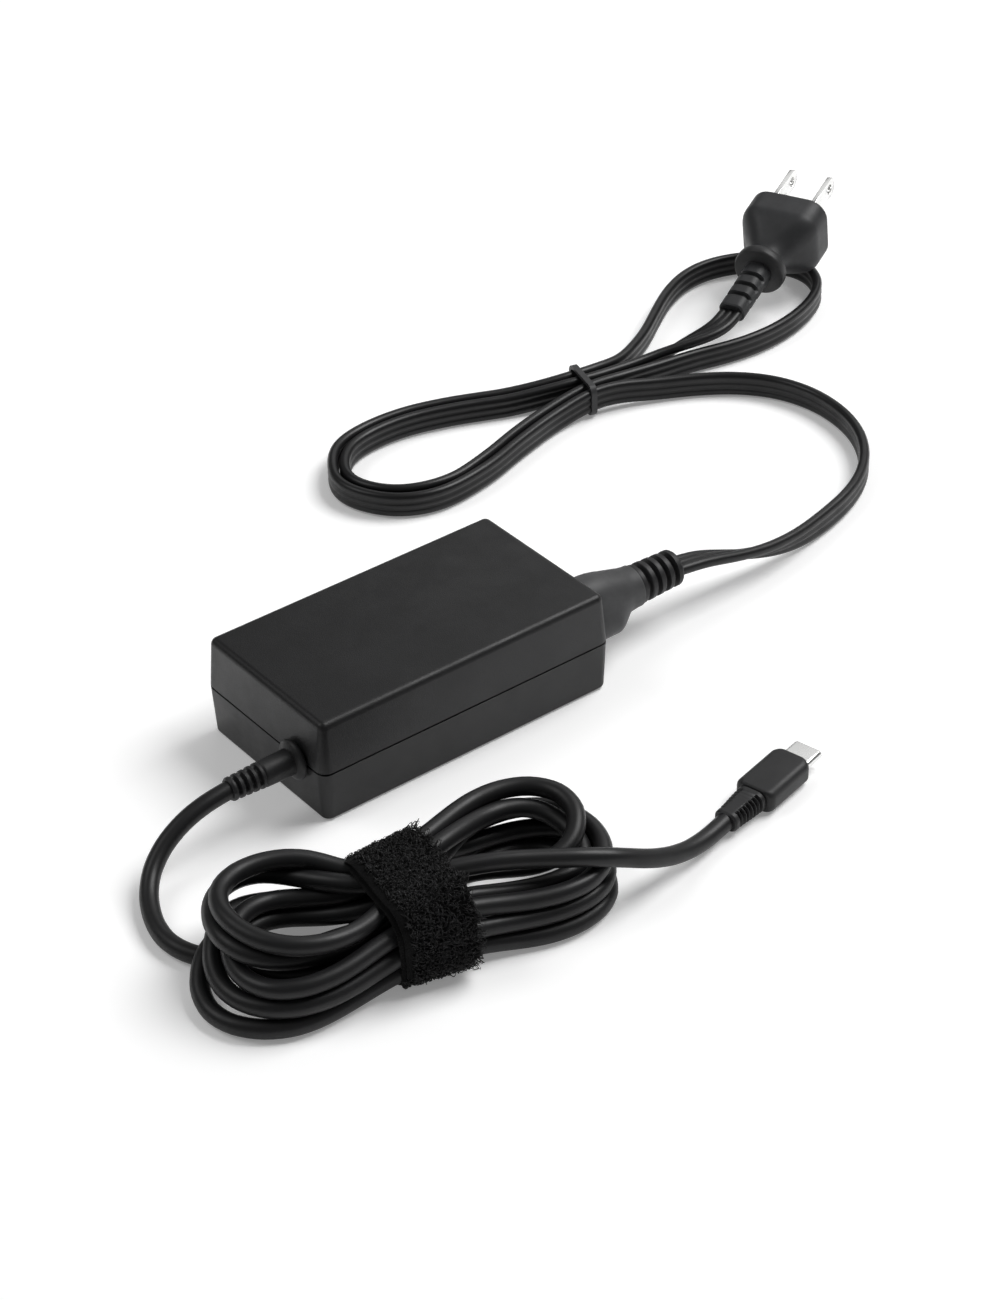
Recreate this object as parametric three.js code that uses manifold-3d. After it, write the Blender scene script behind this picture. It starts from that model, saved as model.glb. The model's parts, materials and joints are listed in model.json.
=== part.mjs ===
// Laptop power adapter of the 65 W class: a two-shell brick with a captive USB-C output lead,
// tied up in a hank, and a detachable flat mains lead. Millimetres, +Z up, +X towards the mains
// inlet, the origin at the centre of the brick's underside.
import * as THREE from 'three';
import { mergeVertices } from 'three/addons/utils/BufferGeometryUtils.js';
import Module from 'manifold-3d';

const wasm = await Module();
wasm.setup();

// ---- driving dimensions ---------------------------------------------------------------------
const GAP = 0.3; // play between pieces that touch

const CASE = {
  length: 90, width: 51, height: 28.5,
  wall: 2, skin: 2.2, // side walls, and floor and ceiling
  corner: 3, edge: 1.2, // radii of the upright and of the long edges
  topInset: 1.05, bottomInset: 0.65, // how far each shell leans in from the parting line
  seam: 0.3, lip: 0.8, lipHeight: 1.6,
};
const SEAM_Z = CASE.height / 2;
const LABEL = { length: 58, width: 30, thickness: 0.18, recess: 0.6, lift: 0.12 };

// mains inlet (C6 size) and the connector that plugs into it (C5 size)
const INLET = { y: -9.8, z: SEAM_Z, width: 22.4, height: 17.4, back: 25, front: 44.5, floor: 30.1 };
const PIN = { radius: 1.15, spread: 5, drop: 2.5, rise: 2.6, back: 22.5, tip: 42 };
const NOSE = { radius: 3.3, tip: 31.2 };
const BODY = {
  radius: 4.45, topRadius: 6.5, topLift: 0.2, // the earth pin's side is fuller
  start: 45.35, shoulder: 54.5, neck: 60.5, neckScale: 0.72, end: 66, endScale: 0.6,
};
const CONTACT = { inner: 1.45, outer: 1.9, start: 33.5, length: 8.5 };
const CONNECTOR_RELIEF = { start: 66.3, end: 80.5, radius: 5.4, endRadius: 4.8, rings: 4, groove: 0.9 };
const UNPLUG_PINS = [
  { name: 'line', y: PIN.spread, z: -PIN.drop },
  { name: 'neutral', y: -PIN.spread, z: -PIN.drop },
  { name: 'earth', y: 0, z: PIN.rise },
];

// output lead: strain relief, cord, hank and strap
const GLAND = { y: -14.5, z: SEAM_Z, end: 65, collar: 5.3, radius: 3.65, endRadius: 3.05, groove: 0.5 };
const OUTPUT_CORD = { diameter: 4.7, sides: 8 };
const HANK = { x: -54, y: -68, turn: -12, left: -53.6, right: 52.2, back: 19.5, front: -23.6, height: 23.6 };
const STRAP = { width: 18, thickness: 1.8, front: -22.4, back: 11.2, bottom: 0.1, top: 22.8, corner: 7 };
const USB = {
  x: 27.6, y: -89.3, z: 3.35, turn: 13.5,
  relief: 11.6, bodyStart: 11.9, bodyLength: 17.6, bodyWidth: 11.2, bodyHeight: 6.4,
  shellWidth: 8.25, shellHeight: 2.45, shellWall: 0.3, shellLength: 6.65,
};

// mains lead: a flat three-core cord, tied where its loops meet
const MAINS_CORD = { width: 7.4, thickness: 3, twin: 6.6 };
const TIE = { x: 129.35, y: 88.75, z: 5.35, turn: 74.8, halfWidth: 7.35, halfHeight: 4.2, strip: 0.8, depth: 1.6 };
const PLUG = {
  x: 185.6, y: 86.5, z: 12, turn: 24.8, lift: 10.6,
  relief: 21, disc: 24.5, face: 48, discRadius: 8.2, halfWidth: 12.6, halfHeight: 11,
  bladeHeight: 6.35, bladeThickness: 1.52, bladeSpread: 6.35, bladeLength: 17.5, bladeLift: 4.2,
  earthRadius: 2.38, earthLength: 20, earthDrop: -7.6,
};

// Routes of the cords, from one end to the other. A mains point is x, y, z and the roll in
// degrees: 0 lies flat, 90 stands on edge.
const OUTPUT_START_ROUTE = [
  [-65.3, -14.5, 14.25], [-72.5, -14.6, 13.4], [-80, -15.3, 11], [-86.2, -16.8, 8.1], [-91.2, -19.6, 5.2],
  [-95, -24.4, 3.3], [-98, -31.5, 2.4], [-99.8, -39, 2.36], [-99.6, -43.4, 2.36],
];
const OUTPUT_END_ROUTE = [
  [-6.2, -94, 12.8], [-0.3, -94.2, 9.6], [4.5, -93.9, 7.3], [9.1, -93.1, 5.4], [18, -91.5, 3.3], [27.3, -89.38, 3.35],
];
const MAINS_LEAD_ROUTE = [
  [81.1, -9.8, 14.1, 0], [88.9, -10.3, 12.9, 5], [98.3, -10.8, 10.2, 20], [107.6, -11, 7.6, 38],
  [116.8, -10.8, 5.7, 60], [125.6, -9.8, 4.6, 78], [138, -6.9, 3.85, 90], [149.5, -3.2, 3.75, 90],
  [160, 2.4, 3.75, 90], [169, 10.6, 3.75, 90], [175.4, 20.6, 3.75, 90], [178.8, 32, 3.75, 90],
  [179, 44, 3.75, 90], [175.4, 55.2, 3.75, 90], [168.3, 64.4, 3.75, 90], [158.6, 71.6, 3.75, 90],
  [147, 77.3, 4.1, 90], [137.6, 81, 5, 90], [129.6, 83.4, 5.35, 90],
];
const RIGHT_LOOP_ROUTE = [
  [131.9, 93.9, 5.35, 90], [140, 93.9, 4.8, 90], [149, 95.3, 3.75, 90], [163.4, 101.9, 3.75, 90],
  [175.2, 109.9, 3.75, 90], [186.6, 117.4, 3.75, 90], [197.9, 122.3, 3.75, 90], [208.3, 123.3, 3.75, 90],
  [218.6, 120.4, 3.75, 90], [227, 114, 3.75, 90], [231, 105.8, 3.75, 90], [230, 97.6, 3.75, 90],
  [224.8, 90.1, 3.75, 90], [215.2, 84, 3.75, 90], [202.5, 80, 3.75, 90], [190.5, 78.9, 3.75, 90],
  [179.5, 80, 3.75, 90], [168, 82.6, 3.75, 90], [155, 84.6, 3.75, 90], [142.5, 85.7, 4.6, 90],
  [130.5, 87, 5.35, 90],
];
const LEFT_LOOPS_ROUTE = [
  [128.1, 85.4, 5.35, 90], [121, 85.3, 4.9, 90], [112.5, 84.1, 4.1, 90], [98, 80.1, 3.75, 90], [83, 75, 3.75, 90],
  [68.5, 72, 3.75, 90], [55.5, 74.6, 3.75, 90], [47.6, 82.6, 3.75, 90], [45.4, 93, 3.75, 90],
  [49.9, 101.7, 3.75, 90], [57, 107.7, 3.75, 90], [66.5, 110.4, 3.75, 90], [79.3, 110.3, 3.75, 90],
  [93.3, 106.4, 3.75, 90], [109, 99.6, 3.75, 90], [119.5, 95.3, 4.6, 90], [129.9, 92.5, 5.35, 90],
];
const PLUG_LEAD_ROUTE = [
  [131.1, 90.35, 5.35, 90], [142, 89.7, 4.7, 88], [151.5, 89.4, 4.6, 76], [160, 88.6, 5.9, 52],
  [168, 86.6, 7.9, 24], [174, 85, 9.4, 8], [179.6, 84.6, 10.6, 0], [185, 86.2, 11.8, 0],
];

// ---- materials --------------------------------------------------------------------------------
const LOOKS = {
  case: { color: 0x1b1b1c, roughness: 0.62, metalness: 0 },
  rubber: { color: 0x202022, roughness: 0.7, metalness: 0 },
  cord: { color: 0x1d1d1f, roughness: 0.55, metalness: 0 },
  strap: { color: 0x101011, roughness: 0.95, metalness: 0 },
  label: { color: 0x3a3a3c, roughness: 0.6, metalness: 0 },
  steel: { color: 0xc9cbcd, roughness: 0.28, metalness: 1 },
  brass: { color: 0xc8a860, roughness: 0.32, metalness: 1 },
  aluminium: { color: 0xb9bcbf, roughness: 0.42, metalness: 1 },
  board: { color: 0x1f6b3a, roughness: 0.5, metalness: 0 },
  black: { color: 0x151516, roughness: 0.5, metalness: 0 },
  ferrite: { color: 0x34363a, roughness: 0.6, metalness: 0 },
  tape: { color: 0xd8b53a, roughness: 0.45, metalness: 0 },
  copper: { color: 0xb5653a, roughness: 0.35, metalness: 1 },
  blue: { color: 0x2f5fa8, roughness: 0.5, metalness: 0 },
  sheet: { color: 0xd9d9d2, roughness: 0.5, metalness: 0 },
};

const adapter = new THREE.Group();
const radians = THREE.MathUtils.degToRad;

function addPart(parent, name, geometry, look) {
  const mesh = new THREE.Mesh(geometry, new THREE.MeshStandardMaterial(LOOKS[look]));
  mesh.name = name;
  parent.add(mesh);
  return mesh;
}

// ---- geometry helpers ---------------------------------------------------------------------------
function toSolid(geometry) {
  const bare = geometry.clone();
  bare.deleteAttribute('normal');
  bare.deleteAttribute('uv');
  const merged = mergeVertices(bare, 1e-4);
  return new wasm.Manifold(new wasm.Mesh({
    numProp: 3,
    vertProperties: new Float32Array(merged.attributes.position.array),
    triVerts: new Uint32Array(merged.index.array),
  }));
}

function toGeometry(solid) {
  const mesh = solid.getMesh();
  const geometry = new THREE.BufferGeometry();
  geometry.setAttribute('position', new THREE.BufferAttribute(mesh.vertProperties, 3));
  geometry.setIndex(new THREE.BufferAttribute(mesh.triVerts, 1));
  geometry.computeVertexNormals();
  return geometry;
}

function box(x0, x1, y0, y1, z0, z1) {
  const geometry = new THREE.BoxGeometry(x1 - x0, y1 - y0, z1 - z0);
  return geometry.translate((x0 + x1) / 2, (y0 + y1) / 2, (z0 + z1) / 2);
}

function roundedRectangle(x0, x1, y0, y1, radius) {
  const shape = new THREE.Shape();
  shape.absarc(x1 - radius, y0 + radius, radius, -Math.PI / 2, 0);
  shape.absarc(x1 - radius, y1 - radius, radius, 0, Math.PI / 2);
  shape.absarc(x0 + radius, y1 - radius, radius, Math.PI / 2, Math.PI);
  shape.absarc(x0 + radius, y0 + radius, radius, Math.PI, 1.5 * Math.PI);
  return shape;
}

// Extrudes an outline drawn in the y-z plane along +X, from start to end.
function alongX(shape, start, end, options = {}) {
  const geometry = new THREE.ExtrudeGeometry(shape, {
    depth: end - start, bevelEnabled: false, curveSegments: 5, ...options,
  });
  geometry.rotateX(Math.PI / 2).rotateZ(Math.PI / 2);
  return geometry.translate(start, 0, 0);
}

function upright(shape, bottom, top, options = {}) {
  const geometry = new THREE.ExtrudeGeometry(shape, {
    depth: top - bottom, bevelEnabled: false, curveSegments: 4, ...options,
  });
  return geometry.translate(0, 0, bottom);
}

// Turns a profile of (distance along the axis, radius) about the X axis.
function turned(profile, segments = 16) {
  const points = profile.map(([along, radius]) => new THREE.Vector2(radius, along));
  return new THREE.LatheGeometry(points, segments).rotateZ(-Math.PI / 2);
}

function rod(start, end, radius, segments = 16) {
  return turned([[start, 0], [start, radius], [end, radius], [end, 0]], segments);
}

function sleeve(start, end, inner, outer, segments = 12) {
  return turned([[start, inner], [start, outer], [end, outer], [end, inner], [start, inner]], segments);
}

// A tapered, ribbed strain relief along X: rings of full size with grooves between them.
function ribbedProfile(start, end, radius, endRadius, groove, rings, plain) {
  const radiusAt = (x) => radius + (endRadius - radius) * (x - start) / (end - start);
  const pitch = (end - start - plain) / rings;
  const profile = [[start, 0], [start, radius]];
  for (let i = 0; i < rings; i += 1) {
    const x = start + plain + i * pitch;
    profile.push([x, radiusAt(x)], [x + 0.2 * pitch, radiusAt(x) - groove]);
    profile.push([x + 0.4 * pitch, radiusAt(x) - groove], [x + 0.6 * pitch, radiusAt(x)]);
  }
  profile.push([end, endRadius], [end, 0]);
  return profile;
}

// The way out from the straight side that touches two circles, the second one anticlockwise.
function sideNormal(from, to) {
  const distance = Math.hypot(to.y - from.y, to.z - from.z);
  return Math.atan2(to.z - from.z, to.y - from.y) - Math.acos((from.radius - to.radius) / distance);
}

// The outline round three lobes, one about each pin, as the connector family has it.
function lobedOutline(radius, topRadius = radius, topLift = 0) {
  const [right, left, top] = UNPLUG_PINS.map(({ y, z }) => ({ y, z, radius }));
  top.z += topLift;
  top.radius = topRadius;
  const ring = [left, right, top];
  const shape = new THREE.Shape();
  ring.forEach((lobe, i) => {
    const from = sideNormal(ring[(i + 2) % 3], lobe);
    const to = sideNormal(lobe, ring[(i + 1) % 3]);
    shape.absarc(lobe.y, lobe.z, lobe.radius, from, to);
  });
  return shape;
}

function curveThrough(route) {
  return new THREE.CatmullRomCurve3(route.map(([x, y, z]) => new THREE.Vector3(x, y, z)));
}

function roundCord(route, { diameter, sides }, steps) {
  const section = new THREE.Shape();
  for (let i = 0; i < sides; i += 1) {
    const angle = (2 * Math.PI * i) / sides;
    const point = [Math.cos(angle), Math.sin(angle)].map((value) => value * diameter / 2);
    if (i === 0) section.moveTo(...point);
    else section.lineTo(...point);
  }
  section.closePath();
  return new THREE.ExtrudeGeometry(section, { steps, extrudePath: curveThrough(route) });
}

// A path whose section is turned by the roll given at each point of its route.
class RolledPath extends THREE.CatmullRomCurve3 {
  constructor(route) {
    super(route.map(([x, y, z]) => new THREE.Vector3(x, y, z)));
    this.rolls = route.map(([, , , roll]) => radians(roll));
  }

  rollAt(u) {
    const place = this.getUtoTmapping(u) * (this.rolls.length - 1);
    const before = Math.min(Math.floor(place), this.rolls.length - 2);
    return THREE.MathUtils.lerp(this.rolls[before], this.rolls[before + 1], place - before);
  }

  computeFrenetFrames(steps) {
    const frames = { tangents: [], normals: [], binormals: [] };
    for (let i = 0; i <= steps; i += 1) {
      const tangent = this.getTangentAt(i / steps);
      const side = new THREE.Vector3(-tangent.y, tangent.x, 0).normalize();
      const up = new THREE.Vector3().crossVectors(tangent, side);
      const roll = this.rollAt(i / steps);
      const across = side.multiplyScalar(Math.cos(roll)).addScaledVector(up, -Math.sin(roll));
      frames.tangents.push(tangent);
      frames.normals.push(across);
      frames.binormals.push(new THREE.Vector3().crossVectors(tangent, across));
    }
    return frames;
  }
}

// A flat cord with rounded edges: ten-sided, width along the rolled direction.
function flatCord(route, width, thickness, steps) {
  const w = width / 2;
  const t = thickness / 2;
  const outline = [[w, 0], [w - 0.25 * t, 0.7 * t], [w - t, t], [t - w, t], [0.25 * t - w, 0.7 * t], [-w, 0]];
  const lower = outline.slice(1, -1).reverse().map(([x, y]) => [x, -y]);
  const section = new THREE.Shape([...outline, ...lower].map(([x, y]) => new THREE.Vector2(x, y)));
  return new THREE.ExtrudeGeometry(section, { steps, extrudePath: new RolledPath(route) });
}

// ---- casing -----------------------------------------------------------------------------------
// Leans the walls in above and below the parting line, as a moulded shell's draft does.
function drafted(geometry) {
  const position = geometry.attributes.position;
  for (let i = 0; i < position.count; i += 1) {
    const rise = (position.getZ(i) - SEAM_Z) / SEAM_Z;
    const inset = rise > 0 ? rise * CASE.topInset : -rise * CASE.bottomInset;
    position.setX(i, position.getX(i) * (1 - inset / (CASE.length / 2)));
    position.setY(i, position.getY(i) * (1 - inset / (CASE.width / 2)));
  }
  return geometry;
}

function block(inset, bottom, top, corner, edge) {
  const x = CASE.length / 2 - inset;
  const y = CASE.width / 2 - inset;
  const bevel = edge > 0
    ? { bevelEnabled: true, bevelThickness: edge, bevelSize: edge, bevelOffset: -edge, bevelSegments: 2 }
    : {};
  return toSolid(drafted(upright(roundedRectangle(-x, x, -y, y, corner), bottom + edge, top - edge,
    { steps: 2, ...bevel })));
}

function casingSolid() {
  const outer = block(0, 0, CASE.height, CASE.corner, CASE.edge);
  const inner = block(CASE.wall, CASE.skin, CASE.height - CASE.skin, CASE.corner - 1.5, 0);
  const inlet = toSolid(box(INLET.front - 6, INLET.front + 6,
    INLET.y - INLET.width / 2 - GAP, INLET.y + INLET.width / 2 + GAP,
    INLET.z - INLET.height / 2 - GAP, INLET.z + INLET.height / 2 + GAP));
  const gland = toSolid(rod(-CASE.length / 2 - 3, -CASE.length / 2 + 5, GLAND.radius + GAP)
    .translate(0, GLAND.y, GLAND.z));
  return outer.subtract(inner).subtract(inlet).subtract(gland);
}

function lipRing(outerInset, innerInset, bottom, top) {
  const corner = CASE.corner - 1;
  return block(outerInset, bottom, top, corner, 0).subtract(block(innerInset, bottom - 1, top + 1, corner, 0));
}

function addCasing() {
  const casing = casingSolid();
  const reach = CASE.length;
  const upperHalf = toSolid(box(-reach, reach, -reach, reach, SEAM_Z + CASE.seam / 2, CASE.height + 5));
  const lowerHalf = toSolid(box(-reach, reach, -reach, reach, -5, SEAM_Z - CASE.seam / 2));
  const openings = toSolid(box(INLET.back, INLET.front + 6, INLET.y - INLET.width / 2 - GAP,
    INLET.y + INLET.width / 2 + GAP, SEAM_Z - 5, SEAM_Z + 5))
    .add(toSolid(box(-CASE.length, -CASE.length / 2 + 5, GLAND.y - 6.2, GLAND.y + 6.2, SEAM_Z - 5, SEAM_Z + 5)));
  const lip = lipRing(CASE.wall - CASE.lip, CASE.wall + 0.4, SEAM_Z - 2, SEAM_Z + CASE.lipHeight)
    .subtract(openings);
  const rebate = lipRing(CASE.wall - CASE.lip - GAP, CASE.wall + 1.4, SEAM_Z - 3,
    SEAM_Z + CASE.lipHeight + GAP);
  const label = toSolid(box(-LABEL.length / 2 - GAP, LABEL.length / 2 + GAP,
    -LABEL.width / 2 - GAP, LABEL.width / 2 + GAP, -1, LABEL.recess));
  addPart(adapter, 'top_cover', toGeometry(casing.intersect(upperHalf).subtract(rebate)), 'case');
  addPart(adapter, 'bottom_cover', toGeometry(casing.intersect(lowerHalf).add(lip).subtract(label)), 'case');
  addPart(adapter, 'rating_label', box(-LABEL.length / 2, LABEL.length / 2, -LABEL.width / 2, LABEL.width / 2,
    LABEL.lift, LABEL.lift + LABEL.thickness), 'label');
}

// ---- mains inlet ------------------------------------------------------------------------------
function addInlet() {
  const inlet = new THREE.Group();
  inlet.position.set(0, INLET.y, INLET.z);
  adapter.add(inlet);
  const shell = toSolid(box(INLET.back, INLET.front, -INLET.width / 2, INLET.width / 2,
    -INLET.height / 2, INLET.height / 2));
  let housing = shell.subtract(toSolid(alongX(lobedOutline(NOSE.radius + 0.35), INLET.floor, INLET.front + 1)));
  for (const { y, z } of UNPLUG_PINS) {
    const hole = rod(INLET.back - 1, INLET.floor + 1, PIN.radius + GAP, 12).translate(0, y, z);
    housing = housing.subtract(toSolid(hole));
  }
  addPart(inlet, 'inlet_housing', toGeometry(housing), 'black');
  for (const { name, y, z } of UNPLUG_PINS) {
    addPart(inlet, `inlet_pin_${name}`, rod(PIN.back, PIN.tip, PIN.radius, 12), 'steel').position.set(0, y, z);
  }
}

// ---- circuit ------------------------------------------------------------------------------------
const BOARD = { bottom: 5.2, thickness: 1.6, back: 24.3, x0: -40.4, x1: 41, y: 21.8, notch: 2 };
const DECK = BOARD.bottom + BOARD.thickness + GAP; // where components stand

function addBoard() {
  const outline = new THREE.Shape([
    [BOARD.x0, -BOARD.y], [BOARD.back, -BOARD.y], [BOARD.back, BOARD.notch], [BOARD.x1, BOARD.notch],
    [BOARD.x1, BOARD.y], [BOARD.x0, BOARD.y],
  ].map(([x, y]) => new THREE.Vector2(x, y)));
  addPart(adapter, 'main_board', upright(outline, BOARD.bottom, BOARD.bottom + BOARD.thickness), 'board');
  addPart(adapter, 'insulation_sheet', box(-40, 40, -21.5, 21.5, 2.6, 2.9), 'sheet');
  addPart(adapter, 'heat_spreader', box(-38, 24, -20.5, 20.5, 25, 25.6), 'aluminium');
}

function addInputFilter() {
  addPart(adapter, 'fuse', rod(-5, 5, 1.8, 12).rotateZ(Math.PI / 2).translate(37, 12, DECK + 1.9), 'sheet');
  addPart(adapter, 'varistor', rod(-2, 2, 5, 16).translate(29, 12, DECK + 5), 'blue');
  const ring = new THREE.TorusGeometry(5.6, 2.7, 8, 20).rotateY(Math.PI / 2);
  addPart(adapter, 'common_mode_choke', ring.translate(16, -11, DECK + 8.3), 'copper');
  addPart(adapter, 'x_capacitor', box(14, 22, 2.5, 19.5, DECK, DECK + 13), 'tape');
  addPart(adapter, 'bridge_rectifier', box(5.9, 10.2, -19, -5, DECK, DECK + 11), 'black');
}

function addPrimarySide() {
  const can = turned([[-12, 0], [-12, 6.6], [-11.3, 7.5], [-9.6, 7.5], [-9, 7], [-8.4, 7.5], [12, 7.5], [12, 0]], 20);
  addPart(adapter, 'bulk_capacitor', can.rotateZ(Math.PI / 2).translate(3, 8.2, DECK + 7.6), 'black');
  addPart(adapter, 'primary_heatsink', box(-2.6, -1.1, -20, -5, DECK, DECK + 15), 'aluminium');
  addPart(adapter, 'primary_transistor', box(-0.6, 4, -17.5, -7.5, DECK + 2, DECK + 13), 'black');
}

// An E-core pair: a frame with two windows, and the winding round its middle leg.
function addTransformer() {
  const transformer = new THREE.Group();
  transformer.position.set(-15.6, 8.6, DECK);
  adapter.add(transformer);
  const height = 17;
  let core = toSolid(box(-4.5, 4.5, -12, 12, 0, height));
  for (const side of [-1, 1]) {
    const window = box(-6, 6, Math.min(side * 4, side * 9), Math.max(side * 4, side * 9), 2.8, height - 2.8);
    core = core.subtract(toSolid(window));
  }
  addPart(transformer, 'transformer_core', toGeometry(core), 'ferrite');
  const winding = roundedRectangle(-9, 9, -8.6, 8.6, 2.5);
  winding.holes.push(roundedRectangle(-4.9, 4.9, -4.4, 4.4, 0.3));
  addPart(transformer, 'transformer_winding', upright(winding, 3.1, height - 3.1), 'tape');
}

function addSecondarySide() {
  addPart(adapter, 'y_capacitor', rod(-1.8, 1.8, 4, 14).translate(-10, -9.5, DECK + 4), 'blue');
  addPart(adapter, 'optocoupler', box(-13.2, -6.8, -19.6, -15.4, DECK, DECK + 3.5), 'black');
  addPart(adapter, 'secondary_heatsink', box(-29.6, -28.1, -1, 20, DECK, DECK + 14), 'aluminium');
  addPart(adapter, 'synchronous_rectifier', box(-34.4, -30, 4, 14, DECK + 2, DECK + 12), 'black');
  for (const [i, y] of [-7.4, -16.6].entries()) {
    const can = turned([[0, 0], [0, 4], [11.6, 4], [12, 3.6], [12, 0]], 16).rotateY(-Math.PI / 2);
    addPart(adapter, `output_capacitor_${i + 1}`, can.translate(-20.2, y, DECK), 'aluminium');
  }
  const choke = new THREE.TorusGeometry(3.5, 1.8, 8, 16);
  addPart(adapter, 'output_inductor', choke.translate(-31.2, -13.5, DECK + 1.9), 'copper');
  addPart(adapter, 'power_delivery_board', box(-38.8, -37.8, -4, 20, DECK, DECK + 15), 'board');
  addPart(adapter, 'power_delivery_controller', box(-37.5, -36.5, 5, 11, DECK + 5, DECK + 11), 'black');
}

// ---- output lead --------------------------------------------------------------------------------
function addGland() {
  const wallFace = CASE.length / 2;
  const grip = wallFace - CASE.wall - GAP - 0.1;
  const ribs = ribbedProfile(wallFace + 7.5, GLAND.end, GLAND.radius - 0.1, GLAND.endRadius, GLAND.groove, 5, 0.4);
  const profile = [
    [grip - 2.6, 0], [grip - 2.6, GLAND.collar], [grip - 0.3, GLAND.collar], [grip - 0.3, GLAND.radius],
    [wallFace + GAP, GLAND.radius], [wallFace + GAP, GLAND.collar], [wallFace + 1.3, GLAND.collar],
    [wallFace + 1.9, GLAND.collar - 0.7], [wallFace + 2.1, GLAND.radius],
    ...ribs.slice(1),
  ];
  const geometry = turned(profile).rotateZ(Math.PI).translate(0, GLAND.y, GLAND.z);
  addPart(adapter, 'output_cord_gland', geometry, 'rubber');
}

// The outer shape of the tied hank: round at both ends and pinched where the strap holds it.
function hankOutline() {
  const { left, right, back, front } = HANK;
  const radius = (back - front) / 2;
  const middle = (back + front) / 2;
  const waist = 7;
  const shape = new THREE.Shape();
  shape.moveTo(-STRAP.width, front + 1);
  shape.quadraticCurveTo(0, front + waist, STRAP.width, front + 1.5);
  shape.quadraticCurveTo(24, front, right - radius, front);
  shape.absarc(right - radius, middle, radius, -Math.PI / 2, Math.PI / 2);
  shape.quadraticCurveTo(22, back, STRAP.width, back - 3);
  shape.quadraticCurveTo(0, back - 2 * waist, -STRAP.width, back - 3);
  shape.quadraticCurveTo(-22, back, left + radius, back);
  shape.absarc(left + radius, middle, radius, Math.PI / 2, 1.5 * Math.PI);
  shape.closePath();
  return shape;
}

function addHank() {
  const hank = new THREE.Group();
  hank.position.set(HANK.x, HANK.y, 0);
  hank.rotation.z = radians(HANK.turn);
  adapter.add(hank);
  const { front, back, bottom, top, corner, thickness, width } = STRAP;
  const waistOutline = roundedRectangle(front + thickness + GAP, back - thickness - GAP,
    bottom + thickness + GAP, top - thickness - GAP, corner - thickness - GAP);
  const reach = width / 2 + GAP;
  const belt = toSolid(box(-reach, reach, -40, 40, -5, 40))
    .subtract(toSolid(alongX(waistOutline, -reach - 1, reach + 1)));
  const coil = toSolid(upright(hankOutline(), 0, HANK.height, { curveSegments: 7 })).subtract(belt);
  addPart(hank, 'output_cord_hank', toGeometry(coil), 'cord');
  const band = roundedRectangle(front, back, bottom, top, corner);
  band.holes.push(roundedRectangle(front + thickness, back - thickness, bottom + thickness, top - thickness,
    corner - thickness));
  addPart(hank, 'cable_strap', alongX(band, -width / 2, width / 2), 'strap');
}

function addUsbPlug() {
  const plug = new THREE.Group();
  plug.position.set(USB.x, USB.y, USB.z);
  plug.rotation.z = radians(USB.turn);
  adapter.add(plug);
  const relief = alongX(roundedRectangle(-4, 4, -2.8, 2.8, 2.4), 0.1, USB.relief);
  const position = relief.attributes.position;
  for (let i = 0; i < position.count; i += 1) {
    const narrow = position.getX(i) < USB.relief / 2 ? 0.82 : 1;
    position.setY(i, position.getY(i) * narrow);
    position.setZ(i, position.getZ(i) * narrow);
  }
  addPart(plug, 'usb_c_relief', relief, 'rubber');
  const edge = 0.8;
  const bodyEnd = USB.bodyStart + USB.bodyLength;
  const outline = roundedRectangle(-USB.bodyWidth / 2, USB.bodyWidth / 2,
    -USB.bodyHeight / 2, USB.bodyHeight / 2, 2.6);
  const body = alongX(outline, USB.bodyStart + edge, bodyEnd - edge,
    { bevelEnabled: true, bevelThickness: edge, bevelSize: edge, bevelOffset: -edge, bevelSegments: 2 });
  addPart(plug, 'usb_c_overmould', body, 'rubber');
  const halfWidth = USB.shellWidth / 2;
  const halfHeight = USB.shellHeight / 2;
  const wall = USB.shellWall;
  const shell = roundedRectangle(-halfWidth, halfWidth, -halfHeight, halfHeight, halfHeight - 0.05);
  shell.holes.push(roundedRectangle(wall - halfWidth, halfWidth - wall, wall - halfHeight, halfHeight - wall,
    halfHeight - wall - 0.05));
  const shellStart = bodyEnd + GAP;
  addPart(plug, 'usb_c_shell', alongX(shell, shellStart, shellStart + USB.shellLength), 'steel');
  addPart(plug, 'usb_c_tongue', box(shellStart, shellStart + 5.2, -3.3, 3.3, -0.35, 0.35), 'black');
}

function addOutputLead() {
  addGland();
  addPart(adapter, 'output_cord_start', roundCord(OUTPUT_START_ROUTE, OUTPUT_CORD, 14), 'cord');
  addHank();
  addPart(adapter, 'output_cord_end', roundCord(OUTPUT_END_ROUTE, OUTPUT_CORD, 8), 'cord');
  addUsbPlug();
}

// ---- mains lead -----------------------------------------------------------------------------------
// How far the body has drawn in at a place along it: full, then a quick curve to the neck.
function bodyScale(x) {
  const { shoulder, neck, neckScale, end, endScale } = BODY;
  if (x < neck) return THREE.MathUtils.mapLinear(Math.max(x, shoulder), shoulder, neck, 1, neckScale);
  return THREE.MathUtils.mapLinear(x, neck, end, neckScale, endScale);
}

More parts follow.
